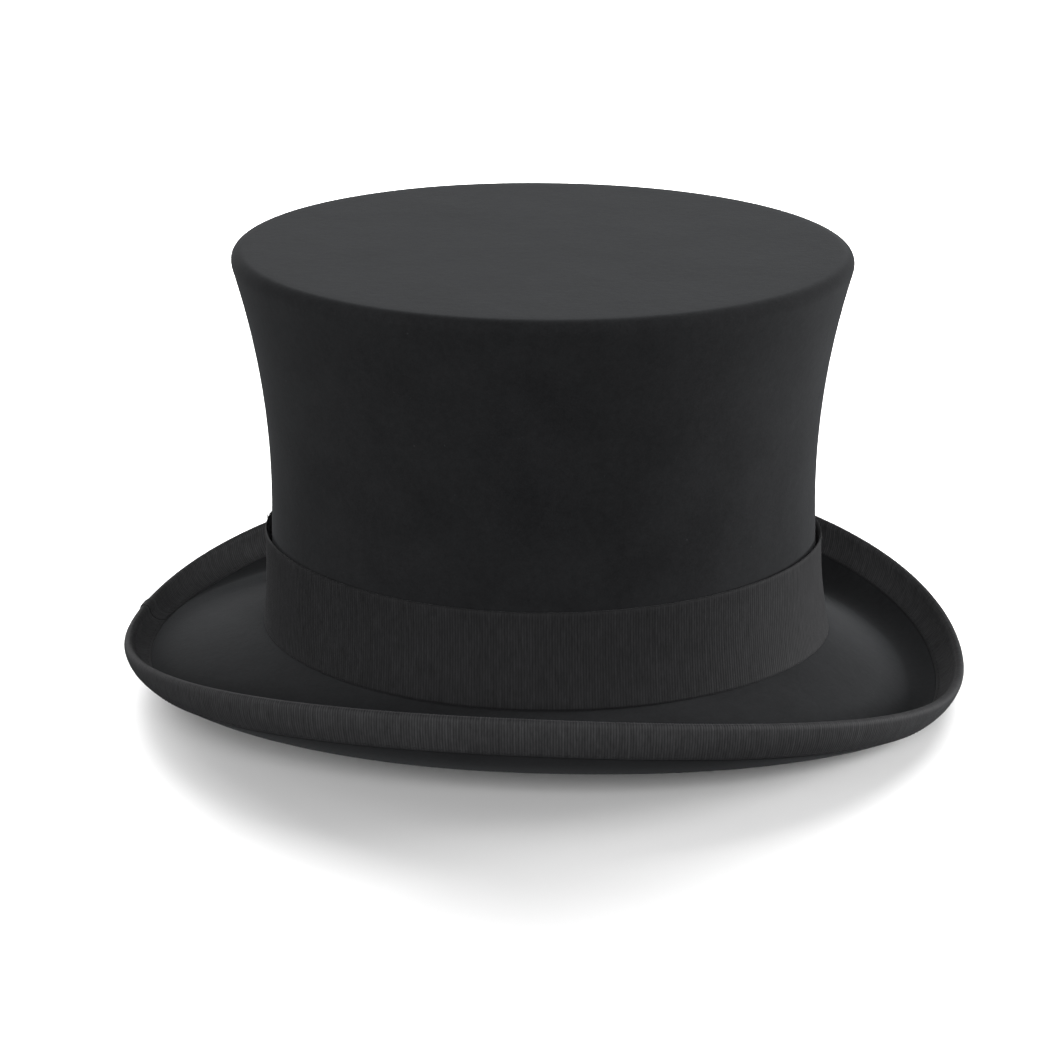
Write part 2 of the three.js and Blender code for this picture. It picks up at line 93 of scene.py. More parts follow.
# How far the felt strays from its true surface: on the tip, and what the side and the rim add.
TIP_WAVE = 0.03
SIDE_WAVE = 0.04
RIM_WAVE = 0.12

# Ribbons.
TOUCH = 0.06
RIBBON_THICKNESS = 0.4
RIB_PITCH = 1.0
RIB_HEIGHT = 0.14
RIB_SWELL = (0.72, 1.0)
RIB_ROUNDNESS = 0.8
SAMPLES_PER_RIB = 4
SELVEDGE = 0.9
SELVEDGE_BEAD = 0.05
CUT_EDGE = 0.15
CUT_EDGE_SHARE = 0.6

# The hat band and the brim's binding. Threes are for the sides, the front and the back.
BAND_HEIGHT = 38.0
BAND_ROWS = 34
BAND_JOIN_GAP = 0.006
BAND_RIPPLE = 0.05
BAND_FLARE = 0.9
BAND_FOOT_RISE = (0.1, 0.5, 0.2)
BAND_SLACK = (0.0, 0.95, 1.2)
BAND_KICK = (0.0, 2.2, 0.0)
BAND_DROP = (0.0, 1.8, 0.3)
BINDING_WIDTH = 12.0
BINDING_ROWS = 46
BINDING_LAP = 5.0
BINDING_LAP_RAMP = 1.6
RIM_REACH = 150.0

# Threads. SEAM_GAP is the angle left open where a row of stitches starts and ends.
STITCH_INSET = 1.5
STITCH_LENGTH = 2.6
STITCH_SPACING = 3.2
STITCH_DIP = 0.3
STITCH_BED = 0.7
SEAM_GAP = 0.02
SEAM_STAND = 0.1
THREAD_RADIUS = 0.15
STITCH_RADII = THREAD_RADIUS * np.array([0.5, 0.9, 1, 1, 1, 0.9, 0.5])
TACK_INSET = 0.6
TACK_STAND = 0.45
TACK_DIP = 0.9
TACK_CROSSING = 0.12

# Leather band, welt, reed and lining. Offsets are from the felt's middle, outward.
LEATHER_OUTSIDE = -2.6
LEATHER_THICKNESS = 1.0
LEATHER_INSIDE = LEATHER_OUTSIDE - LEATHER_THICKNESS
SWEATBAND_FOOT = 4.6
SWEATBAND_TOP = 47.0
CREASE_DEPTH = 0.25
CREASE_HALF_WIDTH = 0.5
CREASE_ABOVE_FOOT = 6.5
CREASE_BELOW_TOP = 5.0
REED_OFFSET = -3.1
REED_HEIGHT = 2.0
REED_RADIUS = 0.8
REED_PLAY = 0.15
WELT_RADIUS = 1.5
LINING_OUTSIDE = -1.55
SATIN_THICKNESS = 0.4
LINING_FOOT = 18.0
LINING_TOP = 139.1
GATHER_START = 48.0
GATHER_FULL = 125.0
GATHER_COUNT = 64
GATHER_DEPTH = 1.5
PIPING_RADIUS = 0.9
PIPING_GAP = 0.35
PIPING_DROP = 0.4
PAD_TOP = CROWN_HEIGHT - HALF_FELT - 0.3
PAD_HALF_LENGTH = 98.0
PAD_THICKNESS = 2.6
LINING_TIP_TOP = PAD_TOP - 3.3
LINING_TIP_HALF_LENGTH = 109.5
LINING_TIP_THICKNESS = 0.5
LINING_TIP_SAG = 1.6
GUARD_HALF_LENGTH = 52.0
GUARD_THICKNESS = 0.25
GUARD_GAP = 0.75

# The flat bow on the wearer's left. A depth is the folded loop's full thickness.
BOW_LENGTH = 66.0
BOW_HEIGHT = 34.0
BOW_ROWS = 16
BOW_MIDDLE = BAND_HEIGHT / 2 + 0.8
BOW_CLEARANCE = 1.1
BOW_BACK = HALF_FELT + TOUCH + RIBBON_THICKNESS + RIB_HEIGHT + BOW_CLEARANCE
BOW_BASE_INSET = 12
BOW_CENTRE_DEPTH = 2.0
BOW_END_DEPTH = 5.2
BOW_WAIST = 11.0
BOW_PINCH = 0.09
BOW_BELLY = 0.125
BOW_LAYER_GAP = 0.3
BOW_ROOM = 4.6
BOW_OFFSET = BOW_BACK + 2 * (RIBBON_THICKNESS + RIB_HEIGHT) + BOW_LAYER_GAP + BOW_ROOM / 2
LOOP_ROUNDING = 0.8
LOOP_END_ROUNDING = 0.35
KNOT_LENGTH = 14.0
KNOT_OVERHANG = 0.9
KNOT_GAP = 0.35
KNOT_CORNER = 0.25
KNOT_SQUEEZE = 0.07

# The little bow and the tag inside the leather band.
LITTLE_BOW_LENGTH = 22.0
LITTLE_BOW_HEIGHT = 41.0
LITTLE_BOW_OFFSET = LEATHER_INSIDE - 2.4
LITTLE_RIBBON_WIDTH = 6.0
LITTLE_RIBBON_THICKNESS = 0.35
LITTLE_RIB_HEIGHT = 0.03
LITTLE_KNOT_LENGTH = 4.0
TAG_ANGLE = 2.75
TAG_HALF_LENGTH = 8.0
TAG_HEIGHT = 9.0
TAG_FOOT = 29.5
TAG_THICKNESS = 0.3
TAG_STAND = 0.6
TAG_CURL = 0.25

BACK = math.pi
LEFT = math.pi / 2
FULL_TURN = 2 * math.pi
BINDING_JOIN = BACK - 0.11

# Colours, as linear red, green, blue and alpha.
# Painted shade: the next two lines give the dark colour painted into the valleys between grosgrain ribs, and
# how much of the cloth's own colour those valleys keep.
RIB_SHADE_KEEP_TONE = 0.45
PAINTED_RIB_SHADE = (0.004, 0.004, 0.0043, 1)
FELT_DARK = (0.0080, 0.0082, 0.0088, 1)
FELT_LIGHT = (0.0150, 0.0153, 0.0163, 1)
FELT_LINT = (0.024, 0.0245, 0.026, 1)
LEATHER_DARK = (0.085, 0.038, 0.02, 1)
LEATHER_LIGHT = (0.16, 0.078, 0.042, 1)
LEATHER_GRAIN = (0.04, 0.018, 0.01, 1)
THREAD_DARK = (0.008, 0.008, 0.009, 1)
THREAD_LIGHT = (0.02, 0.02, 0.022, 1)

pad_low, pad_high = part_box("tip_pad")
_, felt_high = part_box("felt_body")
CENTRE_X = (pad_low.x + pad_high.x) / 2
LIFT = felt_high.z - (CROWN_HEIGHT + HALF_FELT) * MM


def row_frame(points):
    return np.asarray(points) * MM + np.array([CENTRE_X, 0.0, LIFT])


# --- the felt's middle surface ---


def stack(x, y, z):
    return np.stack(np.broadcast_arrays(x, y, z), -1)


def unit(vectors):
    length = np.linalg.norm(vectors, axis=-1, keepdims=True)
    return vectors / np.maximum(length, 1e-12)


def smooth(value, start, end):
    share = np.clip((value - start) / (end - start), 0, 1)
    return share * share * (3 - 2 * share)


def side_share(angle):
    """How much of the side's shape the brim has: 0 at front and back, 1 at the sides."""
    floor = SIDE_SHARE_SOFTNESS**SIDE_SHARE_POWER

    def soft(share):
        return (share + SIDE_SHARE_SOFTNESS**2) ** (SIDE_SHARE_POWER / 2) - floor

    return soft(np.sin(angle) ** 2) / soft(1.0)


def around(value, angle):
    side, front, back = value
    share = side_share(angle)
    end = np.where(np.cos(angle) > 0, front, back)
    return end + (side - end) * share


def dip(angle):
    return -SIDE_DIP * np.sin(angle) ** 2


def crown(height, angle):
    above = height >= WAIST_HEIGHT
    end = np.where(above, TIP_HALF_LENGTH, FOOT_HALF_LENGTH)
    span = np.where(above, CROWN_HEIGHT - WAIST_HEIGHT, WAIST_HEIGHT)
    rise = (height - WAIST_HEIGHT) / span
    half_length = WAIST_HALF_LENGTH + (end - WAIST_HALF_LENGTH) * rise**2
    ratio = FOOT_WIDTH_RATIO + (TIP_WIDTH_RATIO - FOOT_WIDTH_RATIO) * height / CROWN_HEIGHT
    return stack(half_length * np.cos(angle), half_length * ratio * np.sin(angle), height)


def tip(share, angle):
    half_length = share * (TIP_HALF_LENGTH - TIP_EDGE_REACH)
    half_width = share * (TIP_HALF_LENGTH * TIP_WIDTH_RATIO - TIP_EDGE_REACH)
    return stack(half_length * np.cos(angle), half_width * np.sin(angle), CROWN_HEIGHT)


def tip_edge(share, angle):
    t = share[..., None]
    corner = crown(np.full_like(angle, CROWN_HEIGHT), angle)
    side = crown(np.full_like(angle, CROWN_HEIGHT - TIP_EDGE_REACH), angle)
    return (1 - t) ** 2 * tip(1.0, angle) + 2 * t * (1 - t) * corner + t**2 * side


def side_height(share, angle):
    top = CROWN_HEIGHT - TIP_EDGE_REACH
    return top + (dip(angle) + BREAK_REACH - top) * share


def brim_root(angle):
    half_length = FOOT_HALF_LENGTH + ROOT_OFFSET
    half_width = FOOT_HALF_LENGTH * FOOT_WIDTH_RATIO + ROOT_OFFSET
    height = around(ROOT_HEIGHT, angle) + dip(angle)
    point = stack(half_length * np.cos(angle), half_width * np.sin(angle), height)
    outward = unit(stack(np.cos(angle) / half_length, np.sin(angle) / half_width, 0.0))
    return point, outward, np.radians(around(ROOT_SLOPE, angle))


def brim(distance, angle):
    """The brim runs straight from its root, then curls up on an arc of one radius."""
    point, outward, slope = brim_root(angle)
    straight_width = around(STRAIGHT_WIDTH, angle)
    straight = np.minimum(distance, straight_width)
    turn = np.radians(around(RIM_SLOPE, angle)) - slope
    radius = (around(BRIM_WIDTH, angle) - straight_width) / turn
    turned = slope + (distance - straight) / radius
    out = straight * np.cos(slope) + radius * (np.sin(turned) - np.sin(slope))
    up = straight * np.sin(slope) - radius * (np.cos(turned) - np.cos(slope))
    return point + outward * out[..., None] + stack(0.0, 0.0, up)


def brim_break(share, angle):
    point, outward, slope = brim_root(angle)
    top = side_height(np.ones_like(angle), angle)
    start = crown(top, angle)
    down = unit(crown(top - 0.1, angle) - start)
    along = outward * np.cos(slope)[..., None] + stack(0.0, 0.0, np.sin(slope))
    handle = BREAK_HANDLE * np.linalg.norm(point - start, axis=-1, keepdims=True)
    t = share[..., None]
    first = start + down * handle
    second = point - along * handle
    upper = (1 - t) ** 3 * start + 3 * t * (1 - t) ** 2 * first
    return upper + 3 * t**2 * (1 - t) * second + t**3 * point


# One number, the station, runs over the felt from the middle of the tip to the brim's edge:
# 0 to 1 tip, to 2 rounded edge, to 3 side, to 4 break, to 5 open brim, to 6 bound rim.
EDGE, SIDE, BREAK, BRIM, RIM, END = 1, 2, 3, 4, 5, 6


def middle(station, angle):
    station, angle = np.broadcast_arrays(np.asarray(station, float), np.asarray(angle, float))

    def share(start):
        return np.clip(station - start, 0, 1)

    distance = share(BRIM) * (around(BRIM_WIDTH, angle) - BINDING_WIDTH) + share(RIM) * BINDING_WIDTH
    stretches = [
        tip(share(0), angle),
        tip_edge(share(EDGE), angle),
        crown(side_height(share(SIDE), angle), angle),
        brim_break(share(BREAK), angle),
        brim(distance, angle),
    ]
    which = np.clip(np.floor(station), 0, len(stretches) - 1)
    return np.select([(which == i)[..., None] for i in range(len(stretches))], stretches)


def directions(station, angle):
    """Across (from the tip to the brim's edge) and the outer normal."""
    step = 1e-3
    station, angle = np.broadcast_arrays(np.asarray(station, float), np.asarray(angle, float))
    before = middle(np.maximum(station - step, 0), angle)
    across = unit(middle(np.minimum(station + step, END), angle) - before)
    round_way = middle(station, angle + step) - middle(station, angle - step)
    flat = np.linalg.norm(round_way, axis=-1, keepdims=True) < 1e-9
    normal = np.where(flat, np.array([0.0, 0.0, 1.0]), unit(np.cross(across, round_way)))
    return across, normal


def hand_wave(station, angle):
    """The slight unevenness of a hat blocked by hand, in millimetres off the true surface."""
    draw = np.random.default_rng(11)
    wave = 0.0
    for turns in range(2, 10):
        lean = draw.uniform(-1.2, 1.2)
        phase = draw.uniform(0, FULL_TURN)
        strength = draw.uniform(0.4, 1.0)
        wave = wave + strength / turns**0.5 * np.sin(turns * angle + lean * station + phase)
    reach = TIP_WAVE + SIDE_WAVE * smooth(station, 1.2, 2.4) + RIM_WAVE * smooth(station, 4.2, 6.0)
    fade = 1 - 0.8 * smooth(station, 2.7, 3.0) * (1 - smooth(station, 4.0, 4.6))
    return reach * fade * wave * smooth(station, 0.1, 0.8)


def on_felt(station, angle, offset):
    _, normal = directions(station, angle)
    lift = np.asarray(offset + hand_wave(station, angle))
    return middle(station, angle) + normal * lift[..., None]


def round_edge(turn, angle, radius):
    """A point round the brim's edge: turn 0 is on the upper face, pi on the under face."""
    across, normal = directions(END, angle)
    wave = hand_wave(END, angle) + radius * np.cos(turn)
    reach = radius * np.sin(turn)
    return middle(END, angle) + normal * wave[..., None] + across * reach[..., None]


def side_station(height, angle):
    """The station at a height on the crown's side. Below the side it runs on round the break."""
    top = CROWN_HEIGHT - TIP_EDGE_REACH
    share = (top - height) / (top - dip(angle) - BREAK_REACH)
    below = dip(angle) + BREAK_REACH - height
    return np.where(below > 0, BREAK + below / BREAK_LENGTH, SIDE + share)


def on_side(height, angle, offset):
    """Beside the felt's side, following the break where it turns out into the brim."""
    return on_felt(side_station(height, angle), angle, offset)


def wall_directions(height, angle):
    """Down the crown's wall and straight out of it, at any height, even below the felt."""
    step = 1e-3
    down = unit(crown(height - step, angle) - crown(height + step, angle))
    round_way = crown(height, angle + step) - crown(height, angle - step)
    return down, unit(np.cross(down, round_way))


def on_wall(height, angle, offset):
    """Beside the crown's wall carried straight on, so heights are true at any offset."""
    height, angle, offset = np.broadcast_arrays(*np.atleast_2d(height, angle, offset))
    _, out = wall_directions(height, angle)
    return crown(height, angle) + out * offset[..., None]


def even_angles(line, start, turn, spacing, per_step):
    """Angles at even steps of length along line(angle), and each one's length so far."""
    fine = np.linspace(start, start + turn, 6001)
    steps = np.linalg.norm(np.diff(line(fine), axis=0), axis=1)
    length = np.concatenate([[0.0], np.cumsum(steps)])
    count = round(length[-1] / spacing) * per_step
    along = np.linspace(0, length[-1], count + 1)
    return np.interp(along, length, fine), along


# --- meshes ---


def make_object(name, points, faces, cloth=None):
    """A mesh object from points in the hat's frame. faces is a list of (count, corners) arrays."""
    points = points.reshape(-1, 3)
    mesh = bpy.data.meshes.new(name)
    mesh.vertices.add(len(points))
    mesh.vertices.foreach_set("co", row_frame(points).astype(np.float32).ravel())
    corners = np.concatenate([f.ravel() for f in faces]).astype(np.int32)
    sizes = np.concatenate([np.full(len(f), f.shape[1]) for f in faces])
    mesh.loops.add(len(corners))
    mesh.loops.foreach_set("vertex_index", corners)
    mesh.polygons.add(len(sizes))
    mesh.polygons.foreach_set("loop_start", np.concatenate([[0], np.cumsum(sizes)[:-1]]).astype(np.int32))
    mesh.polygons.foreach_set("use_smooth", np.ones(len(sizes), bool))
    if cloth is not None:
        store = mesh.attributes.new("cloth", "FLOAT_VECTOR", "POINT")
        store.data.foreach_set("vector", cloth.reshape(-1, 3).astype(np.float32).ravel())
    mesh.update(calc_edges=True)
    if signed_volume(points, faces) < 0:
        mesh.flip_normals()
    obj = bpy.data.objects.new(name, mesh)
    bpy.context.scene.collection.objects.link(obj)
    return obj


def signed_volume(points, faces):
    total = 0.0
    for face in faces:
        for k in range(1, face.shape[1] - 1):
            a, b, c = points[face[:, 0]], points[face[:, k]], points[face[:, k + 1]]
            total += np.einsum("ij,ij->i", a, np.cross(b, c)).sum()
    return total


def grid_faces(index, close_rows, close_columns):
    if close_rows:
        index = np.vstack([index, index[:1]])
    if close_columns:
        index = np.hstack([index, index[:, :1]])
    quads = np.stack([index[:-1, :-1], index[:-1, 1:], index[1:, 1:], index[1:, :-1]], -1)
    return quads.reshape(-1, 4)


def wrapped(name, points, cloth=None):
    """A closed body from points[outline, round], where both ways close on themselves."""
    index = np.arange(points.shape[0] * points.shape[1]).reshape(points.shape[:2])
    return make_object(name, points, [grid_faces(index, True, True)], cloth)


def strip(name, points, cloth=None):
    """A closed body from points[outline, along]: the outline closes, and both ends are capped."""
    index = np.arange(points.shape[0] * points.shape[1]).reshape(points.shape[:2])
    faces = [grid_faces(index, True, False), index[::-1, :1].T.copy(), index[:, -1:].T.copy()]
    return make_object(name, points, faces, cloth)


def capped(name, points, cloth=None):
    """A closed body from points[outline, round] whose first and last rows each meet in a point."""
    columns = points.shape[1]
    body = points[1:-1]
    first, last = len(body) * columns, len(body) * columns + 1
    everything = np.concatenate([body.reshape(-1, 3), points[0, :1], points[-1, :1]])
    index = np.arange(len(body) * columns).reshape(body.shape[:2])
    ring = np.hstack([index, index[:, :1]])
    start = np.stack([np.full(columns, first), ring[0, 1:], ring[0, :-1]], -1)
    end = np.stack([np.full(columns, last), ring[-1, :-1], ring[-1, 1:]], -1)
    if cloth is not None:
        cloth = np.concatenate([cloth[1:-1].reshape(-1, 3), cloth[0, :1], cloth[-1, :1]])
    return make_object(name, everything, [grid_faces(index, False, True), start, end], cloth)


def rods(name, centres, out, side, radii, sides=6):
    """Many short closed rods: centres[rod, ring, 3], with two directions across each ring."""
    turn = np.linspace(0, FULL_TURN, sides, endpoint=False)
    round_way = out[:, :, None] * np.cos(turn)[:, None] + side[:, :, None] * np.sin(turn)[:, None]
    points = centres[:, :, None] + round_way * np.asarray(radii)[None, :, None, None]
    count, rings = centres.shape[:2]
    index = np.arange(count * rings * sides).reshape(count, rings, sides)
    closed = np.concatenate([index, index[:, :, :1]], 2)
    quads = np.stack([closed[:, :-1, :-1], closed[:, :-1, 1:], closed[:, 1:, 1:], closed[:, 1:, :-1]], -1)
    faces = [quads.reshape(-1, 4), index[:, 0, ::-1].copy(), index[:, -1].copy()]
    return make_object(name, points, faces)


def place(obj, node, material):
    """The piece stands for its CAD node, which it hides; it takes the given material and hangs from the root
    body.
    """
    obj.data.materials.append(material)
    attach(obj, "root")
    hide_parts(node)


# --- materials ---


class Look:
    """Adds nodes to one material and links them."""

    def __init__(self, name):
        self.material = bpy.data.materials.new(name)
        self.material.use_nodes = True
        self.tree = self.material.node_tree
        self.tree.nodes.clear()

    def add(self, kind, inputs=None, **settings):
        node = self.tree.nodes.new(kind)
        for key, value in settings.items():
            setattr(node, key, value)
        for key, value in (inputs or {}).items():
            self.plug(node.inputs[key], value)
        return node

    def plug(self, socket, value):
        if isinstance(value, bpy.types.NodeSocket):
            self.tree.links.new(value, socket)
        else:
            socket.default_value = value

    def math(self, operation, first, second=0.0, third=0.0):
        return self.add("ShaderNodeMath", {0: first, 1: second, 2: third}, operation=operation).outputs[0]

    def weighted(self, *parts):
        """The sum of (value, weight) parts."""
        total = None
        for value, weight in parts:
            part = self.math("MULTIPLY", value, weight)
            total = part if total is None else self.math("ADD", total, part)
        return total

    def object_place(self):
        return self.add("ShaderNodeTexCoord").outputs["Object"]

    def cloth(self):
        return self.add("ShaderNodeAttribute", attribute_name="cloth").outputs["Vector"]

    def cloth_place(self, scale=(1, 1, 1)):
        return self.add("ShaderNodeMapping", {"Vector": self.cloth(), "Scale": scale}).outputs[0]

    def rib_share(self):
        return self.add("ShaderNodeSeparateXYZ", {0: self.cloth()}).outputs["Z"]

    def noise(self, place, scale, detail=2.0, roughness=0.5):
        inputs = {"Vector": place, "Scale": scale, "Detail": detail, "Roughness": roughness}
        return self.add("ShaderNodeTexNoise", inputs).outputs["Fac"]

    def spread(self, value, low, high, to_low=0.0, to_high=1.0):
        inputs = {0: value, 1: low, 2: high, 3: to_low, 4: to_high}
        return self.add("ShaderNodeMapRange", inputs, clamp=True).outputs[0]

    def blend(self, share, first, second):
        node = self.add("ShaderNodeMix", data_type="RGBA")
        self.plug(node.inputs["Factor"], share)
        self.plug(node.inputs[6], first)
        self.plug(node.inputs[7], second)
        return node.outputs[2]

    def bump(self, height, distance, strength=1.0, under=None):
        node = self.add("ShaderNodeBump", {"Height": height, "Distance": distance, "Strength": strength})
        if under is not None:
            self.plug(node.inputs["Normal"], under)
        return node.outputs["Normal"]

    def finish(self, **inputs):
        shader = self.add("ShaderNodeBsdfPrincipled")
        for key, value in inputs.items():
            self.plug(shader.inputs[key.replace("_", " ")], value)
        output = self.add("ShaderNodeOutputMaterial")
        self.tree.links.new(shader.outputs[0], output.inputs["Surface"])
        return self.material


def felt_look():
    look = Look("black_felt")
    spot = look.object_place()
    nap = look.noise(spot, 1500.0, 3.0, 0.7)
    tuft = look.noise(spot, 420.0, 3.0, 0.6)
    cloud = look.noise(spot, 42.0, 4.0, 0.6)
    tone = look.weighted((nap, 0.35), (tuft, 0.25), (cloud, 0.4))
    colour = look.blend(look.spread(tone, 0.36, 0.64), FELT_DARK, FELT_LIGHT)
    lint = look.spread(look.noise(spot, 610.0, 1.0, 0.4), 0.79, 0.86)
    colour = look.blend(lint, colour, FELT_LINT)
    normal = look.bump(cloud, 0.0008, 0.2)
    normal = look.bump(tuft, 0.00016, 0.3, normal)
    normal = look.bump(nap, 0.00007, 0.5, normal)
    return look.finish(
        Base_Color=colour, Roughness=0.95, Specular_IOR_Level=0.08, Normal=normal,
        Sheen_Weight=0.082, Sheen_Roughness=0.5, Sheen_Tint=(0.93, 0.96, 1.0, 1),
    )


def grosgrain_look(name, dark, light):
    look = Look(name)
    ribs = look.noise(look.cloth_place((1.0, 0.14, 0.0)), 0.9, 1.0, 0.5)
    slub = look.noise(look.cloth_place((1.0, 0.35, 0.0)), 1.1, 3.0, 0.6)
    # Painted shade: the colour is mixed towards a dark tone in the valleys between the ribs, by how low the
    # rib stands.
    crest = look.spread(look.rib_share(), 0.1, 0.85, RIB_SHADE_KEEP_TONE, 1.0)
    threads = look.add(
        "ShaderNodeTexWave",
        {"Vector": look.cloth_place(), "Scale": 1.2, "Distortion": 0.6, "Detail": 1.0},
        wave_type="BANDS", bands_direction="Y",
    ).outputs["Fac"]
    cloud = look.noise(look.object_place(), 60.0, 2.0, 0.5)
    tone = look.weighted((ribs, 0.45), (slub, 0.4), (cloud, 0.15))
    colour = look.blend(look.spread(tone, 0.3, 0.7), dark, light)
    colour = look.blend(crest, PAINTED_RIB_SHADE, colour)
    normal = look.bump(threads, 0.00005, 0.5)
    normal = look.bump(slub, 0.00012, 0.5, normal)
    return look.finish(
        Base_Color=colour, Roughness=0.68, Specular_IOR_Level=0.14, Normal=normal,
        Sheen_Weight=0.05, Sheen_Roughness=0.4, Sheen_Tint=(0.95, 0.96, 1.0, 1),
    )


def thread_look():
    look = Look("sewing_thread")
    spot = look.object_place()
    twist = look.add(
        "ShaderNodeTexWave", {"Vector": spot, "Scale": 700.0, "Distortion": 1.5}, bands_direction="DIAGONAL"
    ).outputs["Fac"]
    colour = look.blend(twist, THREAD_DARK, THREAD_LIGHT)
    return look.finish(
        Base_Color=colour, Roughness=0.7, Specular_IOR_Level=0.2, Normal=look.bump(twist, 0.00005, 0.6)
    )


def leather_look():
    look = Look("sweatband_leather")
    spot = look.object_place()
    cells = look.add(
        "ShaderNodeTexVoronoi", {"Vector": spot, "Scale": 1100.0}, feature="DISTANCE_TO_EDGE"
    ).outputs[0]
    grain = look.spread(cells, 0.0, 0.09)
    cloud = look.noise(spot, 45.0, 4.0, 0.6)
    pores = look.noise(spot, 1900.0, 2.0, 0.5)
    colour = look.blend(look.spread(cloud, 0.3, 0.7), LEATHER_DARK, LEATHER_LIGHT)
    groove = look.math("MULTIPLY", look.math("SUBTRACT", 1.0, grain), 0.35)
    colour = look.blend(groove, colour, LEATHER_GRAIN)
    normal = look.bump(grain, 0.00006, 0.6)
    normal = look.bump(pores, 0.00005, 0.4, normal)
    rough = look.spread(cloud, 0.3, 0.7, 0.38, 0.52)
    return look.finish(Base_Color=colour, Roughness=rough, Specular_IOR_Level=0.45, Normal=normal)


def satin_look(name, dark, light):
    look = Look(name)
    fine = look.noise(look.cloth_place((6.0, 0.25, 1.0)), 1.0, 2.0, 0.6)
    cloud = look.noise(look.object_place(), 30.0, 2.0, 0.5)
    tone = look.weighted((fine, 0.6), (cloud, 0.4))
    colour = look.blend(look.spread(tone, 0.35, 0.65), dark, light)
    return look.finish(
        Base_Color=colour, Roughness=0.33, Anisotropic=0.6, Specular_IOR_Level=0.55,
        Sheen_Weight=0.15, Normal=look.bump(fine, 0.00004, 0.4),
    )


def plain_cloth_look(name, dark, light, scale):
    look = Look(name)
    spot = look.object_place()
    weave = look.noise(spot, scale, 3.0, 0.6)
    colour = look.blend(look.spread(weave, 0.35, 0.65), dark, light)
    normal = look.bump(weave, 0.0001, 0.5)
    return look.finish(Base_Color=colour, Roughness=0.8, Sheen_Weight=0.2, Normal=normal)


def reed_look():
    look = Look("reed")
    streak = look.noise(look.object_place(), 300.0, 3.0, 0.6)
    colour = look.blend(streak, (0.42, 0.36, 0.24, 1), (0.6, 0.54, 0.4, 1))
    return look.finish(Base_Color=colour, Roughness=0.4, Normal=look.bump(streak, 0.00005, 0.4))


def clear_look():
    look = Look("clear_sheet")
    haze = look.noise(look.object_place(), 90.0, 3.0, 0.5)
    rough = look.spread(haze, 0.3, 0.7, 0.05, 0.16)
    return look.finish(
        Base_Color=(0.96, 0.97, 0.97, 1), Roughness=rough, Transmission_Weight=0.97, IOR=1.3,
        Normal=look.bump(haze, 0.0004, 0.3),
    )


def paper_look():
    look = Look("tag_paper")
    fibre = look.noise(look.object_place(), 1500.0, 4.0, 0.7)
    colour = look.blend(look.spread(fibre, 0.3, 0.7), (0.66, 0.62, 0.54, 1), (0.76, 0.73, 0.66, 1))
    return look.finish(Base_Color=colour, Roughness=0.7, Normal=look.bump(fibre, 0.00004, 0.4))


# --- felt body ---


def runs(*stretches):
    """Stations from (start, end, count) stretches, each without its own end."""
    return np.concatenate([np.linspace(a, b, n, endpoint=False) for a, b, n in stretches])


def felt_body():
    angle = np.linspace(-BACK, BACK, 400, endpoint=False)[None, :]
    brim_runs = ((BRIM, RIM, 44), (RIM, END, 8))
    outer = runs((0, EDGE, 26), (EDGE, SIDE, 12), (SIDE, BREAK, 60), (BREAK, BRIM, 12), *brim_runs)
    inner = runs((0, EDGE, 12), (EDGE, SIDE, 8), (SIDE, BREAK, 24), (BREAK, BRIM, 10), *brim_runs)
    inner = np.append(inner, END)[::-1]
    turns = np.linspace(0, math.pi, 9)[:-1, None]
    upper = on_felt(outer[:, None], angle, HALF_FELT)
    rim = round_edge(turns, angle, np.full_like(turns * angle, HALF_FELT))
    under = on_felt(inner[:, None], angle, -HALF_FELT)
    return capped("felt_hood", np.concatenate([upper, rim, under]))


# --- ribbons ---


def rib_profile(columns, seed):
    """How high the ribbon stands at each column: one rounded rib every few columns."""
    phase = np.arange(columns) / SAMPLES_PER_RIB
    draw = np.random.default_rng(seed)
    swell = draw.uniform(*RIB_SWELL, int(phase[-1]) + 2)[phase.astype(int)]
    return RIB_HEIGHT * swell * np.abs(np.sin(math.pi * phase)) ** RIB_ROUNDNESS


def ribbon_section(width, rows, thickness):
    """The ribbon's cut end as columns of across, layer and rib share: its ribbed face, then its back."""
    face = np.linspace(0, width, rows)
    edge = np.minimum(face, width - face)
    bead = SELVEDGE_BEAD * (1 - smooth(edge, 0.2, SELVEDGE))
    rib = smooth(edge, 0.3, SELVEDGE)
    rounding = np.where(edge < CUT_EDGE, CUT_EDGE_SHARE, 1.0)
    front = np.stack([face, thickness * rounding + bead * rounding, rib], 1)
    back_face = np.linspace(width, 0, max(rows // 3, 4))
    back = np.stack([back_face, np.zeros_like(back_face), np.zeros_like(back_face)], 1)
    return np.concatenate([front, back]).T[..., None]


def ribbon(name, section, along, seed, where):
    """A strip of ribbed ribbon. where(across, height) gives its points."""
    across, layer, share = section
    ribs = share * rib_profile(len(along), seed)[None, :]
    heights = layer + ribs
    across = across + np.zeros_like(heights)
    points = where(across, heights)
    cloth = stack(along[None, :], across, ribs / RIB_HEIGHT)
    return strip(name, points, cloth)


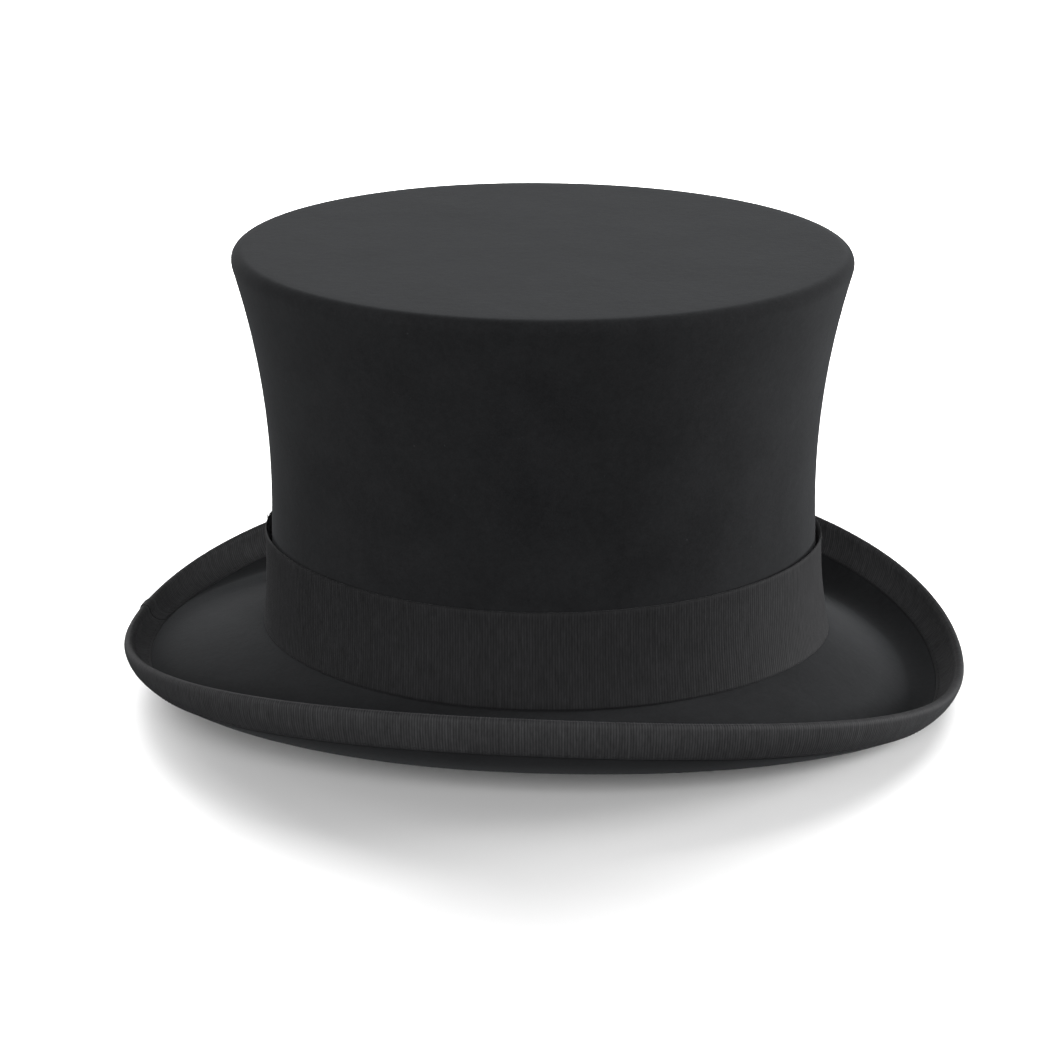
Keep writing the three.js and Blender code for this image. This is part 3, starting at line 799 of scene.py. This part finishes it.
def hat_band():
    def line(spot):
        return crown(BAND_HEIGHT / 2 + 0 * spot, spot)

    turn = FULL_TURN - BAND_JOIN_GAP
    angle, along = even_angles(line, LEFT + BAND_JOIN_GAP / 2, turn, RIB_PITCH, SAMPLES_PER_RIB)
    section = ribbon_section(BAND_HEIGHT, BAND_ROWS, RIBBON_THICKNESS)
    base = HALF_FELT + TOUCH

    def where(across, layer):
        share = across / BAND_HEIGHT
        foot = around(BAND_FOOT_RISE, angle)
        height = dip(angle) + foot + (BAND_HEIGHT - foot) * share
        stand = BAND_FLARE * share**3 + BAND_RIPPLE * np.sin(7 * angle + 2) * share
        slack = around(BAND_SLACK, angle) + around(BAND_KICK, angle) * (1 - share) ** 2
        drop = around(BAND_DROP, angle) * (1 - share) ** 2
        _, out = wall_directions(height, angle[None, :] + 0 * height)
        snug = on_side(height, angle[None, :], base + stand + layer)
        return snug + out * slack[..., None] - stack(0.0, 0.0, drop)

    return ribbon("hat_band_ribbon", section, along, 21, where)


def brim_binding():
    def line(spot):
        return middle(END, spot)

    turn = FULL_TURN + BINDING_LAP / RIM_REACH
    angle, along = even_angles(line, BINDING_JOIN, turn, RIB_PITCH, SAMPLES_PER_RIB)
    radius = HALF_FELT + TOUCH
    fold = math.pi * radius
    width = 2 * BINDING_WIDTH + fold
    section = ribbon_section(width, BINDING_ROWS, RIBBON_THICKNESS)
    lap = smooth(along, along[-1] - BINDING_LAP_RAMP * BINDING_LAP, along[-1] - BINDING_LAP)

    def where(across, layer):
        off = radius + layer + lap[None, :] * (RIBBON_THICKNESS + RIB_HEIGHT / 2)
        past = across - BINDING_WIDTH
        turn = np.clip(past / fold, 0, 1) * math.pi
        inset = np.where(past < 0, -past, np.maximum(past - fold, 0))
        station = END - inset / BINDING_WIDTH
        face = on_felt(station, angle[None, :] + 0 * across, np.where(past < fold / 2, off, -off))
        edge = round_edge(turn, angle[None, :] + 0 * across, off)
        folded = ((past > 0) & (past < fold))[..., None]
        return np.where(folded, edge, face)

    return ribbon("brim_binding_ribbon", section, along, 22, where)


# --- threads ---


def stitch_spots(line, start_angle, turn):
    """Angles along every stitch of a row, with how far each spot is dipped into the cloth."""
    angle, _ = even_angles(line, start_angle, turn, STITCH_SPACING, 1)
    share = np.linspace(-0.5, 0.5, len(STITCH_RADII))
    step = angle[1] - angle[0]
    spot = angle[:-1, None] + step * (0.5 + share[None, :] * STITCH_LENGTH / STITCH_SPACING)
    return spot, STITCH_DIP * (2 * np.abs(share[None, :])) ** 3 + 0 * spot


def binding_stitches(name, side):
    station = RIM + STITCH_INSET / BINDING_WIDTH
    start = BINDING_JOIN + SEAM_GAP / 2
    spot, sunk = stitch_spots(lambda a: middle(station, a), start, FULL_TURN - SEAM_GAP)
    offset = side * (HALF_FELT + TOUCH + RIBBON_THICKNESS + STITCH_BED * RIB_HEIGHT - sunk)
    centres = on_felt(station + 0 * spot, spot, offset)
    across, normal = directions(station + 0 * spot, spot)
    return rods(name, centres, normal, across, STITCH_RADII)


def sweatband_stitches():
    def height(angle):
        return SWEATBAND_FOOT + STITCH_INSET + dip(angle)

    start = SEAM_GAP / 2 - BACK
    spot, sunk = stitch_spots(lambda a: crown(height(a), a), start, FULL_TURN - SEAM_GAP)
    centres = on_wall(height(spot), spot, LEATHER_INSIDE - SEAM_STAND + sunk)
    down, out = wall_directions(height(spot), spot)
    return rods("sweatband_seam_thread", centres, out, down, STITCH_RADII)


def band_tack(name, angle):
    """Two crossed threads over the hat band's upper edge."""
    share = np.linspace(-0.5, 0.5, len(STITCH_RADII))
    lean = np.array([[0.5], [-0.5]])
    height = BAND_HEIGHT - TACK_INSET + share[None, :] * STITCH_LENGTH + 0 * lean
    spot = angle + lean * share[None, :] / FOOT_HALF_LENGTH
    ribbon_face = HALF_FELT + TOUCH + RIBBON_THICKNESS + BAND_FLARE + around(BAND_SLACK, angle)
    stand = ribbon_face + TACK_STAND
    offset = stand - TACK_DIP * smooth(share, 0.1, 0.5)[None, :] + TACK_CROSSING * (lean + 0.5)
    centres = on_side(height, spot, offset)
    station = side_station(height, spot)
    across, normal = directions(station, spot)
    side = np.cross(across, normal)
    return rods(name, centres, normal, side, STITCH_RADII)


# --- the flat bow on the wearer's left ---


def beside_left(along, height, offset):
    angle = LEFT + along / FOOT_HALF_LENGTH
    return on_side(dip(angle) + BOW_MIDDLE + height, angle, offset)


def signed_power(value, power):
    return np.sign(value) * np.abs(value) ** power


def even_loop(spots, columns):
    """A closed path in even steps: its spots, their outward directions and the length so far."""
    steps = np.linalg.norm(np.roll(spots, -1, 0) - spots, axis=1)
    length = np.concatenate([[0], np.cumsum(steps)])
    even = np.linspace(0, length[-1], columns, endpoint=False)
    loop = np.vstack([spots, spots[:1]])
    spots = np.stack([np.interp(even, length, loop[:, k]) for k in (0, 1)], 1)
    way = unit(np.roll(spots, -1, 0) - np.roll(spots, 1, 0))
    return spots, np.stack([way[:, 1], -way[:, 0]], 1), even


def loop_path(length, centre_depth, end_depth, waist, knot, columns):
    """The folded ribbon seen from above, as along and depth: flat at the knot, full at its ends."""
    turn = np.linspace(0, FULL_TURN, columns, endpoint=False)
    along = length / 2 * signed_power(np.cos(turn), LOOP_ROUNDING)
    free = np.maximum(0, np.abs(along) - knot / 2)
    fullness = 1 - np.exp(-((free / waist) ** 2))
    depth = (centre_depth + (end_depth - centre_depth) * fullness) / 2
    return even_loop(np.stack([along, depth * signed_power(np.sin(turn), LOOP_END_ROUNDING)], 1), columns)


def looped_ribbon(name, path, height, thickness, rib_height, seed, where):
    """A closed loop of ribbon: its cut end goes round the path."""
    spots, outward, even = path
    across, layer, share = ribbon_section(height, BOW_ROWS, thickness)
    ribs = rib_profile(len(even), seed)[None, :] * rib_height / RIB_HEIGHT
    depth = layer + share * ribs - thickness
    along = spots[None, :, 0] + outward[None, :, 0] * depth
    deep = spots[None, :, 1] + outward[None, :, 1] * depth
    points = where(along, across - height / 2 + 0 * depth, deep)
    cloth = stack(even[None, :], across, share * ribs / max(rib_height, 0.01))
    return wrapped(name, points, cloth)


def bow_base():
    length = BOW_LENGTH - BOW_BASE_INSET
    columns = round(length / RIB_PITCH) * SAMPLES_PER_RIB + 1
    along = np.linspace(-length / 2, length / 2, columns)
    section = ribbon_section(BOW_HEIGHT, BOW_ROWS, RIBBON_THICKNESS)

    def where(across, layer):
        return beside_left(along[None, :] + 0 * across, across - BOW_HEIGHT / 2, BOW_BACK + layer)

    return ribbon("bow_base_ribbon", section, along - along[0], 31, where)


def bow_loops():
    columns = round(2.05 * BOW_LENGTH / RIB_PITCH) * SAMPLES_PER_RIB
    path = loop_path(BOW_LENGTH, BOW_CENTRE_DEPTH, BOW_END_DEPTH, BOW_WAIST, KNOT_LENGTH, columns)

    def where(along, height, deep):
        pinch = 1 - BOW_PINCH * np.exp(-((along / BOW_WAIST) ** 2))
        belly = BOW_BELLY * np.maximum(deep, 0) * (1 - (2 * height / BOW_HEIGHT) ** 2)
        return beside_left(along, height * pinch, BOW_OFFSET + deep + belly)

    return looped_ribbon("bow_loops_ribbon", path, BOW_HEIGHT, RIBBON_THICKNESS, RIB_HEIGHT, 32, where)


def knot_path(height, depth, corner, columns):
    """A flat ring from half its height and half its depth. A smaller corner power is squarer."""
    turn = np.linspace(0, FULL_TURN, columns * 4, endpoint=False)
    high = height * signed_power(np.cos(turn), corner)
    deep = depth * signed_power(np.sin(turn), corner)
    return even_loop(np.stack([high, deep], 1), columns)


def bow_knot():
    half_height = BOW_HEIGHT / 2 + KNOT_OVERHANG
    half_depth = BOW_CENTRE_DEPTH / 2 + RIBBON_THICKNESS + KNOT_GAP
    columns = round(2.1 * BOW_HEIGHT / RIB_PITCH) * SAMPLES_PER_RIB
    path = knot_path(half_height, half_depth, KNOT_CORNER, columns)

    def where(height, along, deep):
        squeeze = 1 - KNOT_SQUEEZE * (1 - (np.abs(height) / half_height) ** 2)
        return beside_left(along * squeeze, height, BOW_OFFSET + deep)

    return looped_ribbon("bow_knot_ribbon", path, KNOT_LENGTH, RIBBON_THICKNESS, RIB_HEIGHT, 33, where)


# --- inside: sweatband, welt, reed ---


def rounded_section(width, thickness, rows):
    """A strip's cut end with round edges, as columns of across and layer, from its outer face."""
    corner = thickness / 2
    turn = np.linspace(-math.pi / 2, math.pi / 2, 7)
    flat = np.linspace(corner, width - corner, rows)
    top = np.stack([width - corner + corner * np.cos(turn[::-1]), corner + corner * np.sin(turn[::-1])], 1)
    foot = np.stack([corner - corner * np.cos(turn), corner + corner * np.sin(turn)], 1)
    front = np.stack([flat[1:-1], np.full(rows - 2, thickness)], 1)
    back = np.stack([flat[::-1][1:-1], np.zeros(rows - 2)], 1)
    return np.concatenate([front, top, back, foot]).T[..., None]


def sweatband():
    gap = 0.2 / FOOT_HALF_LENGTH
    angle = np.linspace(gap - BACK, BACK - gap, 721)[None, :]
    width = SWEATBAND_TOP - SWEATBAND_FOOT
    across, layer = rounded_section(width, LEATHER_THICKNESS, 26)
    height = SWEATBAND_FOOT + across + dip(angle)
    slack = smooth(across, 0.4 * width, width)
    wave = slack * (0.35 + 0.25 * np.sin(5 * angle + 1) + 0.2 * np.sin(9 * angle + 4))
    crease = sum(
        CREASE_DEPTH * np.exp(-(((across - line) / CREASE_HALF_WIDTH) ** 2))
        for line in (width - CREASE_BELOW_TOP, CREASE_ABOVE_FOOT)
    )
    inside = (layer < LEATHER_THICKNESS / 2) * crease
    offset = LEATHER_INSIDE + layer - wave + inside
    return strip("sweatband_leather", on_wall(height, angle, offset))


def round_section(radius, sides):
    turn = np.linspace(0, FULL_TURN, sides, endpoint=False)[:, None]
    return radius * np.cos(turn), radius * np.sin(turn)


def reed_line(radius, gap, sides, uneven):
    """A round rod along the reed's line, open at the back by twice the gap (an angle)."""
    angle = np.linspace(gap - BACK, BACK - gap, 481)[None, :]
    out, up = round_section(radius, sides)
    swell = 1 + uneven * np.sin(140 * angle)
    height = REED_HEIGHT + dip(angle) + up * swell
    return on_wall(height, angle, REED_OFFSET + out * swell)


def sweatband_reed():
    return strip("reed_rod", reed_line(REED_RADIUS, 0.008, 12, 0.0))


def sweatband_welt():
    """The sleeve round the reed: an outer wall and a bore, joined at the band's two ends."""
    outer = reed_line(WELT_RADIUS, 0.003, 20, 0.03)
    bore = reed_line(REED_RADIUS + REED_PLAY, 0.003, 20, 0.0)
    return wrapped("welt_sleeve", np.concatenate([outer, bore[:, ::-1]], 1))


# --- inside: little bow and size tag ---


def inside_back(along, height, offset):
    angle = BACK + along / FOOT_HALF_LENGTH
    return on_wall(LITTLE_BOW_HEIGHT + height, angle, offset)


def little_ribbon(name, path, width, seed, where):
    return looped_ribbon(name, path, width, LITTLE_RIBBON_THICKNESS, LITTLE_RIB_HEIGHT, seed, where)


def sweatband_bow():
    path = loop_path(LITTLE_BOW_LENGTH, 1.3, 2.4, 3.0, LITTLE_KNOT_LENGTH, 240)

    def where(along, height, deep):
        narrow = 1 - 0.25 * np.exp(-((along / 3.5) ** 2))
        return inside_back(along, height * narrow, LITTLE_BOW_OFFSET + deep)

    return little_ribbon("sweatband_bow_ribbon", path, LITTLE_RIBBON_WIDTH, 41, where)


def sweatband_bow_knot():
    path = knot_path(3.4, 1.15, 0.4, 96)

    def where(height, along, deep):
        return inside_back(along, height, LITTLE_BOW_OFFSET + deep)

    return little_ribbon("sweatband_bow_knot_ribbon", path, LITTLE_KNOT_LENGTH, 42, where)


def size_tag():
    """A small blank tag inside the leather, whose ends curl away from it."""
    half = TAG_HALF_LENGTH / FOOT_HALF_LENGTH
    angle = np.linspace(TAG_ANGLE - half, TAG_ANGLE + half, 41)[None, :]
    across, layer = rounded_section(TAG_HEIGHT, TAG_THICKNESS, 12)
    curl = TAG_CURL * ((angle - TAG_ANGLE) / half) ** 2
    offset = LEATHER_INSIDE - TAG_STAND - TAG_THICKNESS + layer - curl
    return strip("size_tag_paper", on_wall(TAG_FOOT + across, angle, offset))


# --- inside: lining ---


def pleats(angle, count, seed):
    """Soft gathers of uneven size round the lining."""
    draw = np.random.default_rng(seed)
    shift = sum(
        draw.uniform(0.1, 0.35) * np.sin(k * angle + draw.uniform(0, FULL_TURN)) for k in range(2, 12)
    )
    wave = np.sin(count * angle + 3 * shift)
    return (0.5 + 0.5 * wave) ** 1.5 * (0.7 + 0.3 * np.sin(7 * angle + 2 * shift))


def lining_side():
    gap = 0.1 / FOOT_HALF_LENGTH
    angle = np.linspace(gap - BACK, BACK - gap, 1201)[None, :]
    width = LINING_TOP - LINING_FOOT
    across, layer = rounded_section(width, SATIN_THICKNESS, 60)
    height = LINING_FOOT + across
    seam = 1 - 0.85 * smooth(height, LINING_TOP - 5.0, LINING_TOP - 0.5)
    gather = smooth(height, GATHER_START, GATHER_FULL) * seam
    ripple = 0.35 * np.sin(23 * angle + 0.05 * height)
    fold = gather * (GATHER_DEPTH * pleats(angle, GATHER_COUNT, 51) + ripple)
    offset = LINING_OUTSIDE - SATIN_THICKNESS + layer - np.maximum(fold, 0)
    points = on_wall(height, angle, offset)
    cloth = stack(angle * FOOT_HALF_LENGTH, across, 0.0)
    return strip("lining_wall", points, cloth)


def lining_piping():
    angle = np.linspace(-BACK, BACK, 600, endpoint=False)[None, :]
    out, up = round_section(PIPING_RADIUS, 14)
    swell = 1 + 0.05 * np.sin(150 * angle)
    offset = LINING_OUTSIDE - SATIN_THICKNESS - PIPING_GAP - PIPING_RADIUS + out * swell
    points = on_wall(LINING_TOP - PIPING_DROP + up * swell, angle, offset)
    cloth = stack(angle * FOOT_HALF_LENGTH, 2 * up, 0.0)
    return wrapped("lining_cord", points, cloth)


def tip_sheet(name, half_length, upper, thickness, shape, rows=46, columns=360):
    """A flat oval body across the inside of the tip. shape(share, angle) gives its sag."""
    share = np.linspace(0, 1, rows)
    angle = np.linspace(-BACK, BACK, columns, endpoint=False)[None, :]
    half_width = half_length - TIP_HALF_LENGTH * (1 - TIP_WIDTH_RATIO)
    layers = []
    for level, order in ((upper, share), (upper - thickness, share[::-1])):
        reach = order[:, None] * (1 - 0.25 * thickness / half_length)
        height = level - shape(order[:, None], angle)
        layers.append(stack(half_length * reach * np.cos(angle), half_width * reach * np.sin(angle), height))
    middle_row = (layers[0][-1:] + layers[1][:1]) / 2
    middle_row[..., :2] *= 1 + 0.5 * thickness / half_length
    points = np.concatenate([layers[0], middle_row, layers[1]])
    return capped(name, points, points)


def quilt_sag(share, angle):
    """The lining tip hangs a little in the middle and is drawn into its seam in small tucks."""
    tucks = 0.3 * smooth(share, 0.82, 0.97) * np.sin(88 * angle + 1.5 * np.sin(9 * angle))
    return LINING_TIP_SAG * (1 - share**2) + tucks + 0 * angle


def lining_tip():
    size = (LINING_TIP_HALF_LENGTH, LINING_TIP_TOP, LINING_TIP_THICKNESS)
    return tip_sheet("lining_tip_satin", *size, quilt_sag, 70, 720)


def crest_guard():
    rim = GUARD_HALF_LENGTH / LINING_TIP_HALF_LENGTH

    def sag(share, angle):
        weld = 0.12 * np.exp(-(((share - 0.94) / 0.02) ** 2))
        return quilt_sag(share * rim, angle) - weld

    size = (GUARD_HALF_LENGTH, LINING_TIP_TOP - GUARD_GAP, GUARD_THICKNESS)
    return tip_sheet("crest_guard_sheet", *size, sag)


def tip_pad():
    def flat(share, angle):
        return 0.12 * np.sin(31 * share) * np.sin(17 * angle) * share

    return tip_sheet("tip_pad_foam", PAD_HALF_LENGTH, PAD_TOP - 0.2, PAD_THICKNESS, flat, 30, 240)


# --- build ---

felt = felt_look()
band_cloth = grosgrain_look("band_grosgrain", (0.0113, 0.0113, 0.0120, 1), (0.0262, 0.0262, 0.0277, 1))
# Painted light: the binding uses the band's grosgrain at about twice its colour, so it reads as more
# brightly lit than the band.
binding_painted_lighter_cloth = grosgrain_look("binding_grosgrain_painted_lighter", (0.0230, 0.0230, 0.0239, 1), (0.0530, 0.0530, 0.0552, 1))
thread = thread_look()
leather = leather_look()
ivory = satin_look("ivory_satin", (0.60, 0.57, 0.49, 1), (0.74, 0.71, 0.64, 1))
black_satin = satin_look("black_satin", (0.012, 0.012, 0.013, 1), (0.028, 0.028, 0.03, 1))
welt_cloth = plain_cloth_look("welt_cloth", THREAD_DARK, THREAD_LIGHT, 1600.0)
foam = plain_cloth_look("foam", (0.62, 0.6, 0.52, 1), (0.74, 0.72, 0.65, 1), 900.0)

place(felt_body(), "felt_body", felt)
place(brim_binding(), "brim_binding", binding_painted_lighter_cloth)
place(binding_stitches("binding_upper_thread", 1), "binding_stitches_upper", thread)
place(binding_stitches("binding_under_thread", -1), "binding_stitches_under", thread)
place(hat_band(), "hat_band", band_cloth)
place(band_tack("band_front_tack", 0.0), "band_tack_front", thread)
place(band_tack("band_back_tack", BACK), "band_tack_back", thread)
place(bow_base(), "bow_base", band_cloth)
place(bow_loops(), "bow_loops", band_cloth)
place(bow_knot(), "bow_knot", band_cloth)
place(sweatband(), "sweatband", leather)
place(sweatband_welt(), "sweatband_welt", welt_cloth)
place(sweatband_reed(), "sweatband_reed", reed_look())
place(sweatband_stitches(), "sweatband_stitches", thread)
place(sweatband_bow(), "sweatband_bow", black_satin)
place(sweatband_bow_knot(), "sweatband_bow_knot", black_satin)
place(size_tag(), "size_tag", paper_look())
place(lining_side(), "lining_side", ivory)
place(lining_piping(), "lining_piping", ivory)
place(lining_tip(), "lining_tip", ivory)
place(tip_pad(), "tip_pad", foam)
place(crest_guard(), "crest_guard", clear_look())

# --- studio ---

CAMERA_YAW = math.radians(7.85)
CAMERA_RISE = math.radians(19.23)
CAMERA_ROLL = math.radians(-0.28)
CAMERA_DISTANCE = 1.674
CAMERA_AIM = (-4.93, 0.0, 36.2)
FOCAL_SHARE = 4.18
SENSOR = 36.0

# FLOOR_BOUNCE is what the sheet throws back, and FLOOR_FADE is where it starts and ends
# fading to plain white, in metres from the origin.
FLOOR_BOUNCE = 0.03
FLOOR_FADE = (0.5, 1.2)
FLOOR_REACH = 6.0
FLOOR_DROP = -0.0015
WORLD_STRENGTH = 0.10
LAMP_AIM_HEIGHT = 0.09

# Each lamp: where it stands as the camera sees it (right, away, up) in metres, size, and power.
# The hat's lamps light everything. The floor's own lamps give the sheet its soft shadow.
HAT_LAMPS = {
    "overhead": ((0.0, 0.3, 1.9), (1.5, 1.5), 1.0),
    "right": ((1.3, 0.15, 0.32), (0.7, 0.5), 22.0),
    "left_low": ((-1.2, -0.9, 0.42), (0.6, 0.6), 5.5),
    "left": ((-1.5, 0.2, 0.6), (0.9, 1.2), 5.2),
    "fill": ((0.2, -1.9, 0.88), (1.4, 0.8), 33.0),
    "behind": ((-0.9, 2.0, 0.4), (1.6, 0.5), 14.0),
}
FLOOR_LAMPS = {
    "floor_back": ((0.2, 1.7, 1.35), (2.4, 1.4), 100.0),
    "floor_far": ((0.1, 2.6, 1.2), (3.0, 0.8), 80.0),
    "floor_left": ((-1.0, 2.0, 1.0), (1.6, 1.0), 60.0),
}


def facing(place, way):
    """Stands at a place and looks along a way."""
    return Matrix.Translation(place) @ way.to_track_quat("-Z", "Y").to_matrix().to_4x4()


def camera():
    """Looks at the wearer's right side from a little towards the front."""
    turn = Matrix.Rotation(CAMERA_YAW, 3, "Z")
    aim = Vector(row_frame(turn @ Vector(CAMERA_AIM)))
    back = turn @ Vector((0, -math.cos(CAMERA_RISE), math.sin(CAMERA_RISE)))
    data = bpy.data.cameras.new("camera")
    data.sensor_width = SENSOR
    data.lens = SENSOR * FOCAL_SHARE
    data.clip_end = 50
    eye = bpy.data.objects.new("camera", data)
    roll = Matrix.Rotation(CAMERA_ROLL, 4, "Z")
    eye.matrix_world = facing(aim + back * CAMERA_DISTANCE, -back) @ roll
    bpy.context.scene.collection.objects.link(eye)
    bpy.context.scene.camera = eye


def floor():
    """A white sheet that runs out to plain white far from the hat.

    It throws back less light than it shows, so the brim's under side stays dark.
    """
    mesh = bpy.data.meshes.new("floor")
    sides = ((-1, -1), (1, -1), (1, 1), (-1, 1))
    corners = [(x * FLOOR_REACH, y * FLOOR_REACH, FLOOR_DROP) for x, y in sides]
    mesh.from_pydata(corners, [], [(0, 1, 2, 3)])
    ground = bpy.data.objects.new("floor", mesh)
    look = Look("white_floor")
    cloud = look.noise(look.object_place(), 1.5, 2.0, 0.5)
    seen = look.blend(cloud, (0.87, 0.87, 0.87, 1), (0.9, 0.9, 0.9, 1))
    straight = look.add("ShaderNodeLightPath").outputs["Is Camera Ray"]
    colour = look.blend(straight, (FLOOR_BOUNCE, FLOOR_BOUNCE, FLOOR_BOUNCE, 1), seen)
    length = look.add("ShaderNodeVectorMath", {0: look.object_place()}, operation="LENGTH")
    distance = length.outputs["Value"]
    glow = look.math("MULTIPLY", look.spread(distance, *FLOOR_FADE), straight)
    ground.data.materials.append(look.finish(
        Base_Color=colour, Roughness=1.0, Specular_IOR_Level=0.0,
        Emission_Color=(1.0, 1.0, 1.0, 1), Emission_Strength=glow,
    ))
    bpy.context.scene.collection.objects.link(ground)
    ground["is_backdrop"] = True
    return ground


def softbox(name, place, size, power):
    data = bpy.data.lights.new(name, "AREA")
    data.shape = "RECTANGLE"
    data.size, data.size_y = size
    data.energy = power
    lamp = bpy.data.objects.new(name, data)
    location = Matrix.Rotation(CAMERA_YAW, 3, "Z") @ Vector(place)
    lamp.matrix_world = facing(location, Vector((0, 0, LAMP_AIM_HEIGHT)) - location)
    lamp.visible_camera = False
    bpy.context.scene.collection.objects.link(lamp)
    return lamp


def studio(ground):
    world = bpy.data.worlds.new("studio")
    world.use_nodes = True
    tree = world.node_tree
    straight = tree.nodes.new("ShaderNodeLightPath").outputs["Is Camera Ray"]
    strength = tree.nodes.new("ShaderNodeMapRange")
    tree.links.new(straight, strength.inputs["Value"])
    strength.inputs["To Min"].default_value = WORLD_STRENGTH
    strength.inputs["To Max"].default_value = 1.0
    background = tree.nodes["Background"]
    background.inputs["Color"].default_value = (1, 1, 1, 1)
    tree.links.new(strength.outputs["Result"], background.inputs["Strength"])
    scene = bpy.context.scene
    scene.world = world
    scene.view_settings.view_transform = "Standard"
    for name, (spot, size, power) in HAT_LAMPS.items():
        softbox(name, spot, size, power)
    sheet = bpy.data.collections.new("lit_by_floor_lamps")
    sheet.objects.link(ground)
    for name, (spot, size, power) in FLOOR_LAMPS.items():
        softbox(name, spot, size, power).light_linking.receiver_collection = sheet


camera()
studio(floor())

boxes = {"cad": CAD_BOX, "visual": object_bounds()}
{name: [[float(v) for v in corner] for corner in box] for name, box in boxes.items()}
